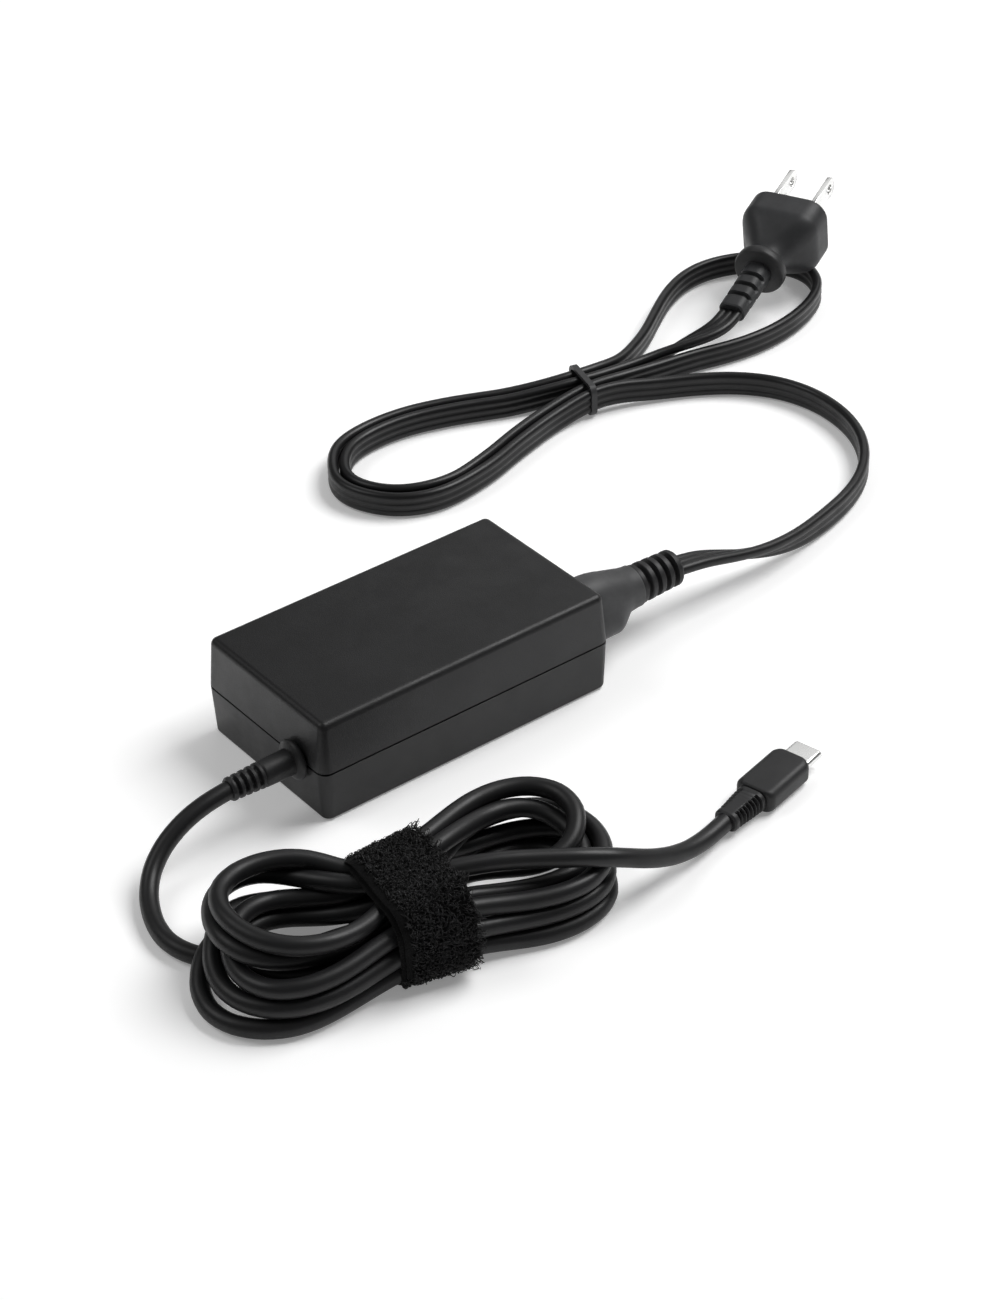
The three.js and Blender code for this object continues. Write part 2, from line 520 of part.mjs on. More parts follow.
function addMainsConnector() {
  const connector = new THREE.Group();
  connector.position.set(0, INLET.y, INLET.z);
  adapter.add(connector);
  const outline = lobedOutline(BODY.radius, BODY.topRadius, BODY.topLift);
  const body = alongX(outline, BODY.start, BODY.end, { steps: 7 });
  const position = body.attributes.position;
  for (let i = 0; i < position.count; i += 1) {
    const scale = bodyScale(position.getX(i));
    position.setY(i, position.getY(i) * scale);
    position.setZ(i, position.getZ(i) * scale);
  }
  let solid = toSolid(body).add(toSolid(alongX(lobedOutline(NOSE.radius), NOSE.tip, BODY.start + 1)));
  for (const { y, z } of UNPLUG_PINS) {
    const hole = rod(NOSE.tip - 1, CONTACT.start + CONTACT.length + 1.5, CONTACT.outer + GAP, 12);
    solid = solid.subtract(toSolid(hole.translate(0, y, z)));
  }
  addPart(connector, 'mains_connector', toGeometry(solid), 'rubber');
  for (const { name, y, z } of UNPLUG_PINS) {
    const contact = sleeve(CONTACT.start, CONTACT.start + CONTACT.length, CONTACT.inner, CONTACT.outer);
    addPart(connector, `connector_contact_${name}`, contact, 'brass').position.set(0, y, z);
  }
  const { start, end, radius, endRadius, rings, groove } = CONNECTOR_RELIEF;
  const relief = turned(ribbedProfile(start, end, radius, endRadius, groove, rings, 0.6));
  addPart(connector, 'mains_connector_relief', relief, 'rubber');
}

function addMainsCord() {
  const { width, thickness, twin } = MAINS_CORD;
  addPart(adapter, 'mains_cord_lead', flatCord(MAINS_LEAD_ROUTE, width, thickness, 22), 'cord');
  addPart(adapter, 'mains_cord_left_loops', flatCord(LEFT_LOOPS_ROUTE, width, twin, 24), 'cord');
  addPart(adapter, 'mains_cord_right_loop', flatCord(RIGHT_LOOP_ROUTE, width, thickness, 26), 'cord');
  addPart(adapter, 'mains_cord_plug_lead', flatCord(PLUG_LEAD_ROUTE, width, thickness, 8), 'cord');
  const w = TIE.halfWidth;
  const h = TIE.halfHeight;
  const band = roundedRectangle(-w - TIE.strip, w + TIE.strip, -h - TIE.strip, h + TIE.strip, 2);
  band.holes.push(roundedRectangle(-w, w, -h, h, 1));
  const tie = addPart(adapter, 'twist_tie', alongX(band, -TIE.depth / 2, TIE.depth / 2), 'cord');
  tie.position.set(TIE.x, TIE.y, TIE.z);
  tie.rotation.z = radians(TIE.turn - 90);
}

function addMainsPlug() {
  const plug = new THREE.Group();
  plug.position.set(PLUG.x, PLUG.y, PLUG.z);
  plug.rotation.set(0, -radians(PLUG.lift), radians(PLUG.turn), 'ZYX');
  adapter.add(plug);
  const relief = turned(ribbedProfile(0.1, PLUG.relief - GAP, 3.7, 4.6, 0.6, 3, 3));
  addPart(plug, 'mains_plug_relief', relief, 'rubber');
  const { disc, face, discRadius, halfWidth } = PLUG;
  const profile = [
    [PLUG.relief, 0], [PLUG.relief, discRadius - 0.7], [PLUG.relief + 0.8, discRadius], [disc, discRadius],
    [disc + 1.5, discRadius - 1.4], [disc + 6, 9.4], [disc + 12, 11.8], [disc + 18, halfWidth - 0.3],
    [face - 1.2, halfWidth], [face, halfWidth - 1], [face, 0],
  ];
  const body = turned(profile, 20).scale(1, 1, PLUG.halfHeight / halfWidth);
  addPart(plug, 'mains_plug_body', body, 'rubber');
  const bladeStart = face + GAP;
  for (const [name, side] of [['line', -1], ['neutral', 1]]) {
    const blade = box(bladeStart, bladeStart + PLUG.bladeLength, -PLUG.bladeThickness / 2,
      PLUG.bladeThickness / 2, -PLUG.bladeHeight / 2, PLUG.bladeHeight / 2);
    addPart(plug, `plug_blade_${name}`, blade, 'steel').position.set(0, side * PLUG.bladeSpread, PLUG.bladeLift);
  }
  const r = PLUG.earthRadius;
  const tip = bladeStart + PLUG.earthLength;
  const pin = turned([[bladeStart, 0], [bladeStart, r], [tip - 2, r], [tip - 0.6, 0.7 * r], [tip, 0]]);
  addPart(plug, 'plug_earth_pin', pin, 'steel').position.set(0, 0, PLUG.earthDrop);
}

addCasing();
addInlet();
addBoard();
addInputFilter();
addPrimarySide();
addTransformer();
addSecondarySide();
addOutputLead();
addMainsConnector();
addMainsCord();
addMainsPlug();

export default adapter;
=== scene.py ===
"""A laptop power adapter: two-shell casing, output lead tied in a hank, and a flat mains lead.

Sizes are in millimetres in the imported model's frame, and become metres when a mesh is made.
"""
import json
import math

import bmesh
import bpy
import numpy as np
from mathutils import Matrix, Vector


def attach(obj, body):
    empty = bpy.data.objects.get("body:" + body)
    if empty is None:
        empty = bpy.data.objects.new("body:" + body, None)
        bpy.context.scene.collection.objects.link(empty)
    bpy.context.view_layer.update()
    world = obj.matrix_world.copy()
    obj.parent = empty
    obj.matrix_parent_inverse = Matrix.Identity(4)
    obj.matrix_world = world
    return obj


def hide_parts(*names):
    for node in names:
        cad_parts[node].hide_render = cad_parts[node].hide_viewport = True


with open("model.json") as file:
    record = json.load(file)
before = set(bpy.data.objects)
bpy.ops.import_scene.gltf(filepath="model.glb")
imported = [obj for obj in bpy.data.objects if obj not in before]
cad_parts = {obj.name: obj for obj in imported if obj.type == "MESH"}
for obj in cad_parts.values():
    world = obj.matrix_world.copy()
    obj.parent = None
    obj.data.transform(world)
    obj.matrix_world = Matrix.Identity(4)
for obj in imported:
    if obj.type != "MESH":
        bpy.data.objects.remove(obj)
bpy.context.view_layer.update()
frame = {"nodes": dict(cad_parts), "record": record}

MM = 0.001
SEAM_Z = 14.25
CASE = {"length": 90, "width": 51, "height": 28.5, "corner": 3, "seam": 0.45}
GLAND_Y = -14.5
INLET = {"y": -9.8, "z": SEAM_Z, "width": 22.4, "height": 17.4, "back": 25, "front": 44.5, "floor": 30.1}
PINS = {"line": (5, -2.5), "neutral": (-5, -2.5), "earth": (0, 2.6)}
OUTPUT_CORD = 4.7
MAINS_CORD = {"width": 7.4, "thickness": 3.0}
HANK = {"x": -54, "y": -68, "turn": -12}
STRAP = {"width": 18, "front": -22.8, "back": 11.0, "bottom": 0.15, "top": 21.8, "corner": 8,
         "low_corner": 4.5, "tilt": 0.009, "skew": 0.06}
STRAP_ROOM = 2.1  # from the strap's outer path to the strands inside it
USB = {"x": 27.6, "y": -89.3, "z": 3.35, "turn": 13.5}
PLUG = {"x": 185.6, "y": 86.5, "z": 12, "turn": 24.8, "lift": 10.6, "relief": 21, "disc": 24.5, "face": 48}
TIE = {"x": 129.35, "y": 88.75, "z": 5.35, "turn": 74.8}

# The output cord's route on both sides of its hank, as x, y, z.
OUTPUT_START = [
    (-64.6, -14.5, 14.25), (-72.5, -14.6, 13.4), (-80, -15.3, 11), (-86.2, -16.8, 8.1), (-91.2, -19.6, 5.2),
    (-95, -24.4, 3.3), (-98, -31.5, 2.4), (-99.8, -39, 2.36), (-98.6, -45.6, 2.36), (-93.5, -53, 2.36),
    (-83.5, -60.5, 2.5), (-71, -64.6, 3.4),
]
OUTPUT_END = [
    (-34.4, -81.3, 18.6), (-24.3, -86.8, 17.4), (-14.3, -92.6, 16.4), (-7.9, -93.8, 13.6),
    (-0.3, -94.2, 9.6), (9.1, -93.1, 5.4), (18, -91.5, 3.2), (28.2, -89.15, 3.35),
]
# The hank in its own frame: along it, across it and up. The turns at each end run from the front
# strand round to the back one. The strands pass through the strap at these places across it and up.
RIGHT_TURNS = [
    [(12, -7.5, 3.6), (26, -14.2, 2.4), (38, -13.4, 2.4), (44.4, -8, 2.4), (46, -1, 2.4),
     (43.6, 6.4, 2.4), (38.5, 10.8, 2.4), (31, 12.4, 2.4), (22, 11, 2.8), (12, 8, 4)],
    [(12, -17.6, 4), (17.7, -17.4, 2.8), (28.9, -20, 2.4), (41.5, -18, 2.4), (48.1, -13, 2.4),
     (50.2, -5, 2.4), (49.6, 3.5, 2.4), (46, 11.2, 2.4), (39.7, 15.5, 2.4), (31, 17.4, 2.6),
     (20, 14, 5), (12, 9.4, 7.6)],
    [(12, -17.6, 8.7), (18.1, -17, 7.6), (29.8, -18.6, 7), (42, -17.2, 7), (49, -10.6, 6.9),
     (50.4, -2.4, 6.8), (49, 6, 6.8), (42.6, 10.8, 7), (36.1, 13, 7), (27, 12.9, 7.6), (18, 10.6, 10),
     (12, 8, 11.8)],
    [(12, -15, 13), (19, -15.8, 11), (31, -18, 10.8), (42, -16.8, 10.8), (48.4, -9.4, 11), (50, -1, 11),
     (47.4, 7.2, 10.6), (41.4, 14.4, 10), (33.2, 16.3, 9.8), (24.7, 13.9, 10.6), (18, 10.4, 12.6),
     (12, 6, 13.4)],
    [(11.6, -10.5, 13.2), (20.9, -10.9, 11), (33.2, -11.8, 10.4), (40.6, -11, 10.8), (45.2, -5.8, 11.6),
     (44.7, 0.7, 12.3), (43.7, 7.2, 12.9), (39.8, 11.8, 13.3), (32.4, 13.6, 13.7), (24.1, 11.2, 14.2),
     (16.1, 7, 16), (11, 4.8, 17.4)],
    [(14.3, -1.4, 12.8), (25.2, -4.4, 12.2), (33, -7.8, 12.3), (40, -7, 13), (45, -2.8, 14.8),
     (47.1, 2.3, 16.4), (46.3, 8.6, 17), (41.5, 14.5, 17), (34.9, 16.4, 17.2), (26.8, 15.8, 17.5),
     (17.6, 12.1, 18), (10, 9, 18.4)],
]
LEFT_TURNS = [
    [(-12.5, -18.8, 3.6), (-21, -20, 2.4), (-36, -22, 2.4), (-46.8, -16, 2.4), (-50.4, -8.9, 2.4),
     (-48.9, 0.4, 4.4), (-43.1, 6.4, 7.8), (-33.3, 12.4, 6.4), (-22.5, 15.2, 3.2), (-12.7, 12.8, 3.6)],
    [(-12.5, -19, 8.2), (-21.7, -21.1, 7.2), (-34, -21.4, 7), (-42.9, -16.2, 7), (-46.4, -6.9, 7.1),
     (-45.7, -0.9, 7.8), (-43.1, 3.6, 9.8), (-38.8, 8.4, 11.4), (-32.5, 12.6, 10), (-24, 13.6, 7.6),
     (-14, 9.8, 8.6)],
    [(-12.5, -17, 12.6), (-17, -18.8, 12), (-26, -20.6, 11.8), (-37.4, -19.2, 11.8), (-42.7, -12.1, 12),
     (-43.9, -3.3, 12.6), (-42.2, 3.6, 13.6), (-37.7, 9.2, 12.4), (-31.5, 13.2, 10.6),
     (-21.9, 10.8, 11.2), (-14.3, 6.9, 12.6)],
    [(-13, -13.6, 8.6), (-24, -14.6, 9), (-34, -12, 9.6), (-39.4, -5.4, 9.4), (-40, 2.4, 9.2),
     (-37.4, 8, 8.6), (-32.4, 11.8, 8.2), (-25, 11.8, 8.4), (-14, 6, 11)],
    [(-12, -12.2, 12.4), (-24, -14, 13.2), (-34.6, -13, 13.6), (-41, -7, 14), (-42.6, 1, 14.2),
     (-41.2, 8.8, 14), (-37.3, 15.4, 13.7), (-29.5, 19.4, 13.4), (-20, 15.9, 13.4), (-10.8, 6.9, 14.4)],
    [(-10, -10.4, 15), (-18.4, -15, 16.7), (-28.2, -16.2, 17.7), (-37.2, -11.2, 18),
     (-42.2, -2.2, 18.2), (-41.7, 7.8, 18.2), (-36.4, 14, 18.2), (-26, 15.8, 17.8), (-15.6, 11.8, 16.8),
     (-10, 8, 16)],
]
FRONT_STRANDS = [
    (-3.6, 4.6), (-17.8, 4.6), (-17.9, 9.3), (-15.6, 13.8), (-10.7, 13.2), (-4, 13), (-5.6, 17.6),
]
BACK_STRANDS = [(6.2, 4.6), (6.3, 9.3), (5.8, 13.8), (0.8, 13), (1, 17.7), (6, 17.9)]

# The flat cord's route from the connector to the plug, as x, y, z and its roll in degrees:
# 0 lies flat, 90 stands on edge.
MAINS_ROUTE = [
    (78.8, -9.8, 14.2, 0), (88.9, -10.3, 12.9, 5), (98.3, -10.8, 10.2, 20), (107.6, -11, 7.6, 38),
    (116.8, -10.8, 5.7, 60), (125.6, -9.8, 4.6, 78), (138, -6.9, 3.85, 90), (149.5, -3.2, 3.75, 90),
    (160, 2.4, 3.75, 90), (169, 10.6, 3.75, 90), (175.4, 20.6, 3.75, 90), (178.8, 32, 3.75, 90),
    (179, 44, 3.75, 90), (175.4, 55.2, 3.75, 90), (168.3, 64.4, 3.75, 90), (158.6, 71.6, 3.75, 90),
    (147, 77.3, 4.1, 90), (137.6, 81, 5, 90), (128.7, 82.6, 5.35, 90),
    (115, 82.3, 3.9, 90), (97.8, 77.8, 3.75, 90), (80, 72.2, 3.75, 90), (62, 70.4, 3.75, 90),
    (51.4, 75, 3.75, 90), (45, 84, 3.75, 90), (43.6, 93, 3.75, 90), (48, 102.3, 3.75, 90),
    (54.8, 109, 3.75, 90), (65, 112.1, 3.75, 90), (79.4, 112, 3.75, 90), (93.5, 108.2, 3.75, 90),
    (109.5, 101.5, 3.75, 90), (120, 97.4, 4.5, 90), (131, 94.2, 5.35, 90),
    (140, 94, 4.8, 90), (149, 95.3, 3.75, 90), (163.4, 101.9, 3.75, 90), (175.2, 109.9, 3.75, 90),
    (186.6, 117.4, 3.75, 90), (197.9, 122.3, 3.75, 90), (208.3, 123.3, 3.75, 90), (218.6, 120.4, 3.75, 90),
    (227, 114, 3.75, 90), (231, 105.8, 3.75, 90), (230, 97.6, 3.75, 90), (224.8, 90.1, 3.75, 90),
    (215.2, 84, 3.75, 90), (202.5, 80, 3.75, 90), (190.5, 78.9, 3.75, 90), (179.5, 80, 3.75, 90),
    (168, 82.6, 3.75, 90), (155, 84.6, 3.75, 90), (142.5, 85.5, 4.6, 90), (129.4, 86.3, 5.35, 90),
    (115, 85.9, 4, 90), (98.2, 81.9, 3.75, 90), (84, 77.2, 3.75, 90), (67.8, 74, 3.75, 90),
    (54.8, 78, 3.75, 90), (48.4, 86, 3.75, 90), (47.4, 93.5, 3.75, 90), (51.4, 101, 3.75, 90),
    (57.6, 106.2, 3.75, 90), (66.5, 108.6, 3.75, 90), (79, 108.3, 3.75, 90), (93, 104.4, 3.75, 90),
    (108.5, 98, 3.75, 90), (119, 94, 4.6, 90), (130.2, 90.5, 5.35, 90),
    (142, 89.7, 4.7, 88), (151.5, 89.4, 4.6, 76), (160, 88.6, 5.9, 52), (168, 86.6, 7.9, 24),
    (174, 85, 9.4, 8), (179.6, 84.6, 10.6, 0), (185.8, 86.6, 12, 0),
]


# ---- camera, floor and light ------------------------------------------------------------------
def add_camera():
    right = Vector((0.78768, -0.61570, -0.02203))
    up = Vector((0.37040, 0.44468, 0.81551))
    away = Vector((-0.49231, -0.65052, 0.57832))
    camera = bpy.data.objects.new("camera", bpy.data.cameras.new("camera"))
    camera.data.sensor_width = 36
    camera.data.lens = 82.33
    camera.data.clip_start = 0.05
    camera.data.clip_end = 20
    turn = Matrix((right, up, away)).transposed().to_4x4()
    camera.matrix_world = Matrix.Translation(Vector((-352.07, -503.15, 452.23)) * MM) @ turn
    bpy.context.scene.collection.objects.link(camera)
    bpy.context.scene.camera = camera


def add_area_light(name, place, target, size, watts):
    lamp = bpy.data.lights.new(name, "AREA")
    lamp.shape = "RECTANGLE"
    lamp.size, lamp.size_y = size
    lamp.energy = watts
    light = bpy.data.objects.new(name, lamp)
    light.location = place
    light.rotation_euler = (Vector(target) - Vector(place)).to_track_quat("-Z", "Y").to_euler()
    bpy.context.scene.collection.objects.link(light)


def add_studio():
    mesh = bpy.data.meshes.new("floor")
    reach = 4
    mesh.from_pydata([(-reach, -reach, 0), (reach, -reach, 0), (reach, reach, 0), (-reach, reach, 0)],
                     [], [(0, 1, 2, 3)])
    floor = bpy.data.objects.new("floor", mesh)
    floor.location.z = -0.0002
    bpy.context.scene.collection.objects.link(floor)
    paper = bpy.data.materials.new("paper")
    paper.use_nodes = True
    shader = paper.node_tree.nodes["Principled BSDF"]
    shader.inputs["Base Color"].default_value = (0.93, 0.93, 0.93, 1)
    shader.inputs["Roughness"].default_value = 0.9
    shader.inputs["Specular IOR Level"].default_value = 0.1
    shader.inputs["Emission Color"].default_value = (1, 1, 1, 1)
    shader.inputs["Emission Strength"].default_value = 0.2
    mesh.materials.append(paper)
    world = bpy.data.worlds.new("studio")
    world.use_nodes = True
    world.node_tree.nodes["Background"].inputs["Color"].default_value = (1, 1, 1, 1)
    world.node_tree.nodes["Background"].inputs["Strength"].default_value = 0.13
    bpy.context.scene.world = world
    bpy.context.scene.view_settings.view_transform = "Standard"
    add_area_light("main", (1.25, -0.28, 1.7), (0.04, 0, 0), (1.2, 1.2), 38)
    add_area_light("left", (-1.0, 0.8, 1.6), (0, 0, 0), (1.0, 1.0), 9)
    add_area_light("back", (1.4, 1.1, 1.2), (0.04, 0, 0.02), (1.5, 1.5), 5)


# ---- materials ----------------------------------------------------------------------------------
def node(tree, kind, **inputs):
    made = tree.nodes.new(kind)
    for name, value in inputs.items():
        socket = made.inputs[name.replace("_", " ")]
        if isinstance(value, bpy.types.NodeSocket):
            tree.links.new(value, socket)
        else:
            socket.default_value = value
    return made


def ranged(tree, value, low, high, start=0.35, end=0.65):
    made = node(tree, "ShaderNodeMapRange", Value=value)
    made.inputs["From Min"].default_value = start
    made.inputs["From Max"].default_value = end
    made.inputs["To Min"].default_value = low
    made.inputs["To Max"].default_value = high
    return made.outputs["Result"]


def surface(name, color, roughness, metallic=0.0, grain=0.3, depth=0.02, spread=0.15, gloss_spread=0.05,
            wear_and_highlight=0.0, specular=0.3, scratches=0.0, sheen=0.0, stretch=(1, 1, 1)):
    """A solid surface: a fine grain of that size and depth in millimetres, slow changes of colour and
    gloss over it, lighter edges, partly wear and partly painted highlight, and fine scratches."""
    material = bpy.data.materials.new(name)
    material.use_nodes = True
    tree = material.node_tree
    shader = tree.nodes["Principled BSDF"]
    shader.inputs["Metallic"].default_value = metallic
    shader.inputs["Specular IOR Level"].default_value = specular
    shader.inputs["Sheen Weight"].default_value = sheen
    shader.inputs["Sheen Roughness"].default_value = 0.4
    place = node(tree, "ShaderNodeTexCoord").outputs["Object"]
    if stretch != (1, 1, 1):
        place = node(tree, "ShaderNodeMapping", Vector=place, Scale=stretch).outputs["Vector"]
    fine = node(tree, "ShaderNodeTexNoise", Vector=place, Scale=1 / (grain * MM), Detail=3.0)
    slow = node(tree, "ShaderNodeTexNoise", Vector=place, Scale=90.0, Detail=4.0, Roughness=0.6)
    dark = [value * (1 - spread) for value in color]
    light = [value * (1 + spread) for value in color]
    mix = node(tree, "ShaderNodeMix")
    mix.data_type = "RGBA"
    tree.links.new(ranged(tree, slow.outputs["Fac"], 0, 1), mix.inputs["Factor"])
    mix.inputs[6].default_value = (*dark, 1)
    mix.inputs[7].default_value = (*light, 1)
    tint = mix.outputs[2]
    # Lighter colour on sharp convex edges: partly wear, partly a painted highlight along the edges.
    if wear_and_highlight:
        point = node(tree, "ShaderNodeNewGeometry").outputs["Pointiness"]
        edge = node(tree, "ShaderNodeMix")
        edge.data_type = "RGBA"
        tree.links.new(ranged(tree, point, 0, wear_and_highlight, 0.52, 0.62), edge.inputs["Factor"])
        tree.links.new(tint, edge.inputs[6])
        edge.inputs[7].default_value = (*[min(1, 3 * value + 0.02) for value in color], 1)
        tint = edge.outputs[2]
    tree.links.new(tint, shader.inputs["Base Color"])
    gloss = ranged(tree, slow.outputs["Fac"], roughness + gloss_spread, roughness - gloss_spread)
    if scratches:
        lines = node(tree, "ShaderNodeTexNoise", Scale=900.0, Detail=2.0,
                     Vector=node(tree, "ShaderNodeMapping", Vector=place, Scale=(1, 14, 3)).outputs["Vector"])
        extra = ranged(tree, lines.outputs["Fac"], 0, scratches, 0.55, 0.75)
        total = node(tree, "ShaderNodeMath")
        tree.links.new(gloss, total.inputs[0])
        tree.links.new(extra, total.inputs[1])
        gloss = total.outputs[0]
    tree.links.new(gloss, shader.inputs["Roughness"])
    bump = node(tree, "ShaderNodeBump", Height=fine.outputs["Fac"], Distance=depth * MM, Strength=1.0)
    tree.links.new(bump.outputs["Normal"], shader.inputs["Normal"])
    return material


def make_looks():
    """The looks by name; the name before a dash is the record's material slot."""
    black = (0.0098, 0.0098, 0.0104)
    return {
        # The edge amounts below lighten sharp edges: partly wear, partly painted highlight.
        "case": surface("case", (0.0085, 0.0085, 0.009), 0.42, grain=0.28, depth=0.045, wear_and_highlight=0.5, spread=0.1),
        "soft": surface("soft", (0.018, 0.018, 0.0188), 0.46, grain=0.2, depth=0.012, wear_and_highlight=0.35),
        "soft-connector": surface("soft_connector", (0.055, 0.0555, 0.057), 0.5, grain=0.25, depth=0.02,
                                  wear_and_highlight=0.3),
        "soft-plug": surface("soft_plug", (0.026, 0.0265, 0.028), 0.48, grain=0.25, depth=0.02, wear_and_highlight=0.3),
        "jacket": surface("jacket", black, 0.42, grain=0.16, depth=0.007, spread=0.25, gloss_spread=0.06),
        "jacket-flat": surface("jacket_flat", (0.009, 0.009, 0.0095), 0.36, grain=0.2, depth=0.008,
                               spread=0.25, gloss_spread=0.06),
        "strap": surface("strap", (0.0015, 0.0015, 0.0016), 0.85, grain=0.5, depth=0.25, spread=0.5,
                         specular=0.15, sheen=0.03),
        # The pile's colour is lighter than the band's: partly the fibres' own tone, partly painted sheen.
        "strap-pile": surface("strap_pile", (0.007, 0.007, 0.0074), 0.45, grain=0.6, depth=0.02, spread=0.8,
                              specular=0.3, sheen=0.04),
        "label": surface("label", (0.05, 0.05, 0.052), 0.55, grain=0.15, depth=0.004),
        "moulding": surface("moulding", (0.012, 0.012, 0.013), 0.55, grain=0.3, depth=0.02),
        "plated": surface("plated", (0.8, 0.8, 0.79), 0.24, 1.0, grain=0.5, depth=0.004, spread=0.04,
                          scratches=0.12),
        "brass": surface("brass", (0.7, 0.55, 0.26), 0.3, 1.0, grain=0.4, depth=0.004, scratches=0.1),
        "aluminium": surface("aluminium", (0.62, 0.63, 0.65), 0.38, 1.0, grain=0.3, depth=0.006, spread=0.05,
                             scratches=0.15, stretch=(1, 6, 1)),
        "board": surface("board", (0.015, 0.13, 0.05), 0.35, grain=0.6, depth=0.01, spread=0.2),
        "film": surface("film", (0.72, 0.72, 0.67), 0.4, grain=0.8, depth=0.004, spread=0.05),
        "blue": surface("blue", (0.025, 0.1, 0.38), 0.32, grain=0.7, depth=0.02),
        "tape": surface("tape", (0.68, 0.46, 0.05), 0.35, grain=1.2, depth=0.012, spread=0.08,
                        stretch=(1, 1, 4)),
        "copper": surface("copper", (0.42, 0.14, 0.05), 0.3, 0.6, grain=0.7, depth=0.12, stretch=(4, 1, 1)),
        "ferrite": surface("ferrite", (0.035, 0.037, 0.04), 0.5, grain=0.25, depth=0.02),
    }


# ---- mesh helpers ---------------------------------------------------------------------------------
def finish_piece(piece, look, body, replaces=()):
    piece.data.materials.clear()
    piece.data.materials.append(LOOKS[look])
    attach(piece, body)
    if replaces:
        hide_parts(*replaces)
    return piece


def raw_object(name, shape, place=Matrix()):
    verts, faces = shape
    mesh = bpy.data.meshes.new(name)
    mesh.from_pydata([(place @ Vector(v)) * MM for v in verts], [], faces)
    work = bmesh.new()
    work.from_mesh(mesh)
    bmesh.ops.remove_doubles(work, verts=work.verts, dist=1e-7)
    bmesh.ops.recalc_face_normals(work, faces=work.faces)
    work.to_mesh(mesh)
    work.free()
    piece = bpy.data.objects.new(name, mesh)
    bpy.context.scene.collection.objects.link(piece)
    return piece


def smooth(piece, sharp):
    piece.data.shade_smooth()
    piece.data.set_sharp_from_angle(angle=math.radians(sharp))


def baked(piece):
    """The piece with its modifiers made part of its mesh."""
    depsgraph = bpy.context.evaluated_depsgraph_get()
    depsgraph.update()
    mesh = bpy.data.meshes.new_from_object(piece.evaluated_get(depsgraph))
    piece.modifiers.clear()
    piece.data = mesh
    return piece


def cut(piece, *tools):
    for tool in tools:
        modifier = piece.modifiers.new("cut", "BOOLEAN")
        modifier.operation = "DIFFERENCE"
        modifier.solver = "EXACT"
        modifier.object = tool
    baked(piece)
    for tool in tools:
        bpy.data.objects.remove(tool)
    return piece


def rounded(piece, width, segments=2, angle=40):
    modifier = piece.modifiers.new("edges", "BEVEL")
    modifier.width = width * MM
    modifier.segments = segments
    modifier.limit_method = "ANGLE"
    modifier.angle_limit = math.radians(angle)
    return baked(piece)


def build(name, shape, look, body="adapter", replaces=(), place=Matrix(), sharp=32, tools=(), edge=0):
    piece = raw_object(name, shape, place)
    if tools:
        cut(piece, *tools)
    if edge:
        rounded(piece, edge)
    smooth(piece, sharp)
    return finish_piece(piece, look, body, replaces)


def loft(rings, closed=False):
    """A skin over rings of equal count. An open one is capped at both ends."""
    count = len(rings[0])
    verts = [point for ring in rings for point in ring]
    faces = []
    for i in range(len(rings) if closed else len(rings) - 1):
        a, b = i * count, (i + 1) % len(rings) * count
        faces += [(a + k, a + (k + 1) % count, b + (k + 1) % count, b + k) for k in range(count)]
    if not closed:
        last = len(verts) - count
        faces += [tuple(range(count)), tuple(range(last, last + count))]
    return verts, faces


def joined(*shapes):
    verts, faces = [], []
    for more_verts, more_faces in shapes:
        faces += [tuple(k + len(verts) for k in face) for face in more_faces]
        verts += list(more_verts)
    return verts, faces


def box(x0, x1, y0, y1, z0, z1):
    ring = [(y0, z0), (y1, z0), (y1, z1), (y0, z1)]
    return loft([[(x, y, z) for y, z in ring] for x in (x0, x1)])


def rounded_rectangle(half_width, half_height, radius, per_corner=6):
    points = []
    for corner, (sx, sy) in enumerate([(1, 1), (-1, 1), (-1, -1), (1, -1)]):
        for i in range(per_corner + 1):
            angle = math.radians(90 * corner + 90 * i / per_corner)
            points.append((sx * (half_width - radius) + radius * math.cos(angle),
                           sy * (half_height - radius) + radius * math.sin(angle)))
    return points


def circle(radius, count=48):
    angles = [2 * math.pi * i / count for i in range(count)]
    return [(radius * math.cos(a), radius * math.sin(a)) for a in angles]


def turned(profile, count=56):
    """A body turned about the X axis from (x, radius) points."""
    return loft([[(x, y, z) for y, z in circle(max(radius, 0.01), count)] for x, radius in profile])


def prism(outline, x0, x1):
    return loft([[(x, y, z) for y, z in outline] for x in (x0, x1)])


def ease(value, start, end):
    t = min(1, max(0, (value - start) / (end - start)))
    return t * t * (3 - 2 * t)


def ribbed(start, end, outline_at, ribs, plain, width, depth, spared, step=0.18):
    """A strain relief along X with slots between its ribs. spared(angle) is 1 where no slot is cut."""
    rings = []
    count = int(round((end - start) / step))
    pitch = (end - start - 2 * plain) / ribs
    edge = 0.5
    for i in range(count + 1):
        x = start + (end - start) * i / count
        shrink = 0.35 * (1 - ease(x, start, start + edge)) + 0.35 * ease(x, end - edge, end)
        phase = (x - start - plain) / pitch
        near = abs(phase - math.floor(phase) - 0.5) * pitch
        in_slot = 1 - ease(near, width / 2 - 0.12, width / 2 + 0.16)
        if phase < 0 or phase > ribs:
            in_slot = 0
        ring = []
        for y, z in outline_at(x):
            size = math.hypot(y, z)
            inwards = shrink + depth * in_slot * (1 - spared(math.atan2(z, y)))
            ring.append((x, y * (1 - inwards / size), z * (1 - inwards / size)))
        rings.append(ring)
    return loft(rings)


# ---- lines -----------------------------------------------------------------------------------------
def evenly(line, step):
    steps = np.linalg.norm(np.diff(line[:, :3], axis=0), axis=1)
    along = np.concatenate([[0], np.cumsum(steps)])
    places = np.linspace(0, along[-1], int(round(along[-1] / step)) + 1)
    return np.stack([np.interp(places, along, column) for column in line.T], axis=1)


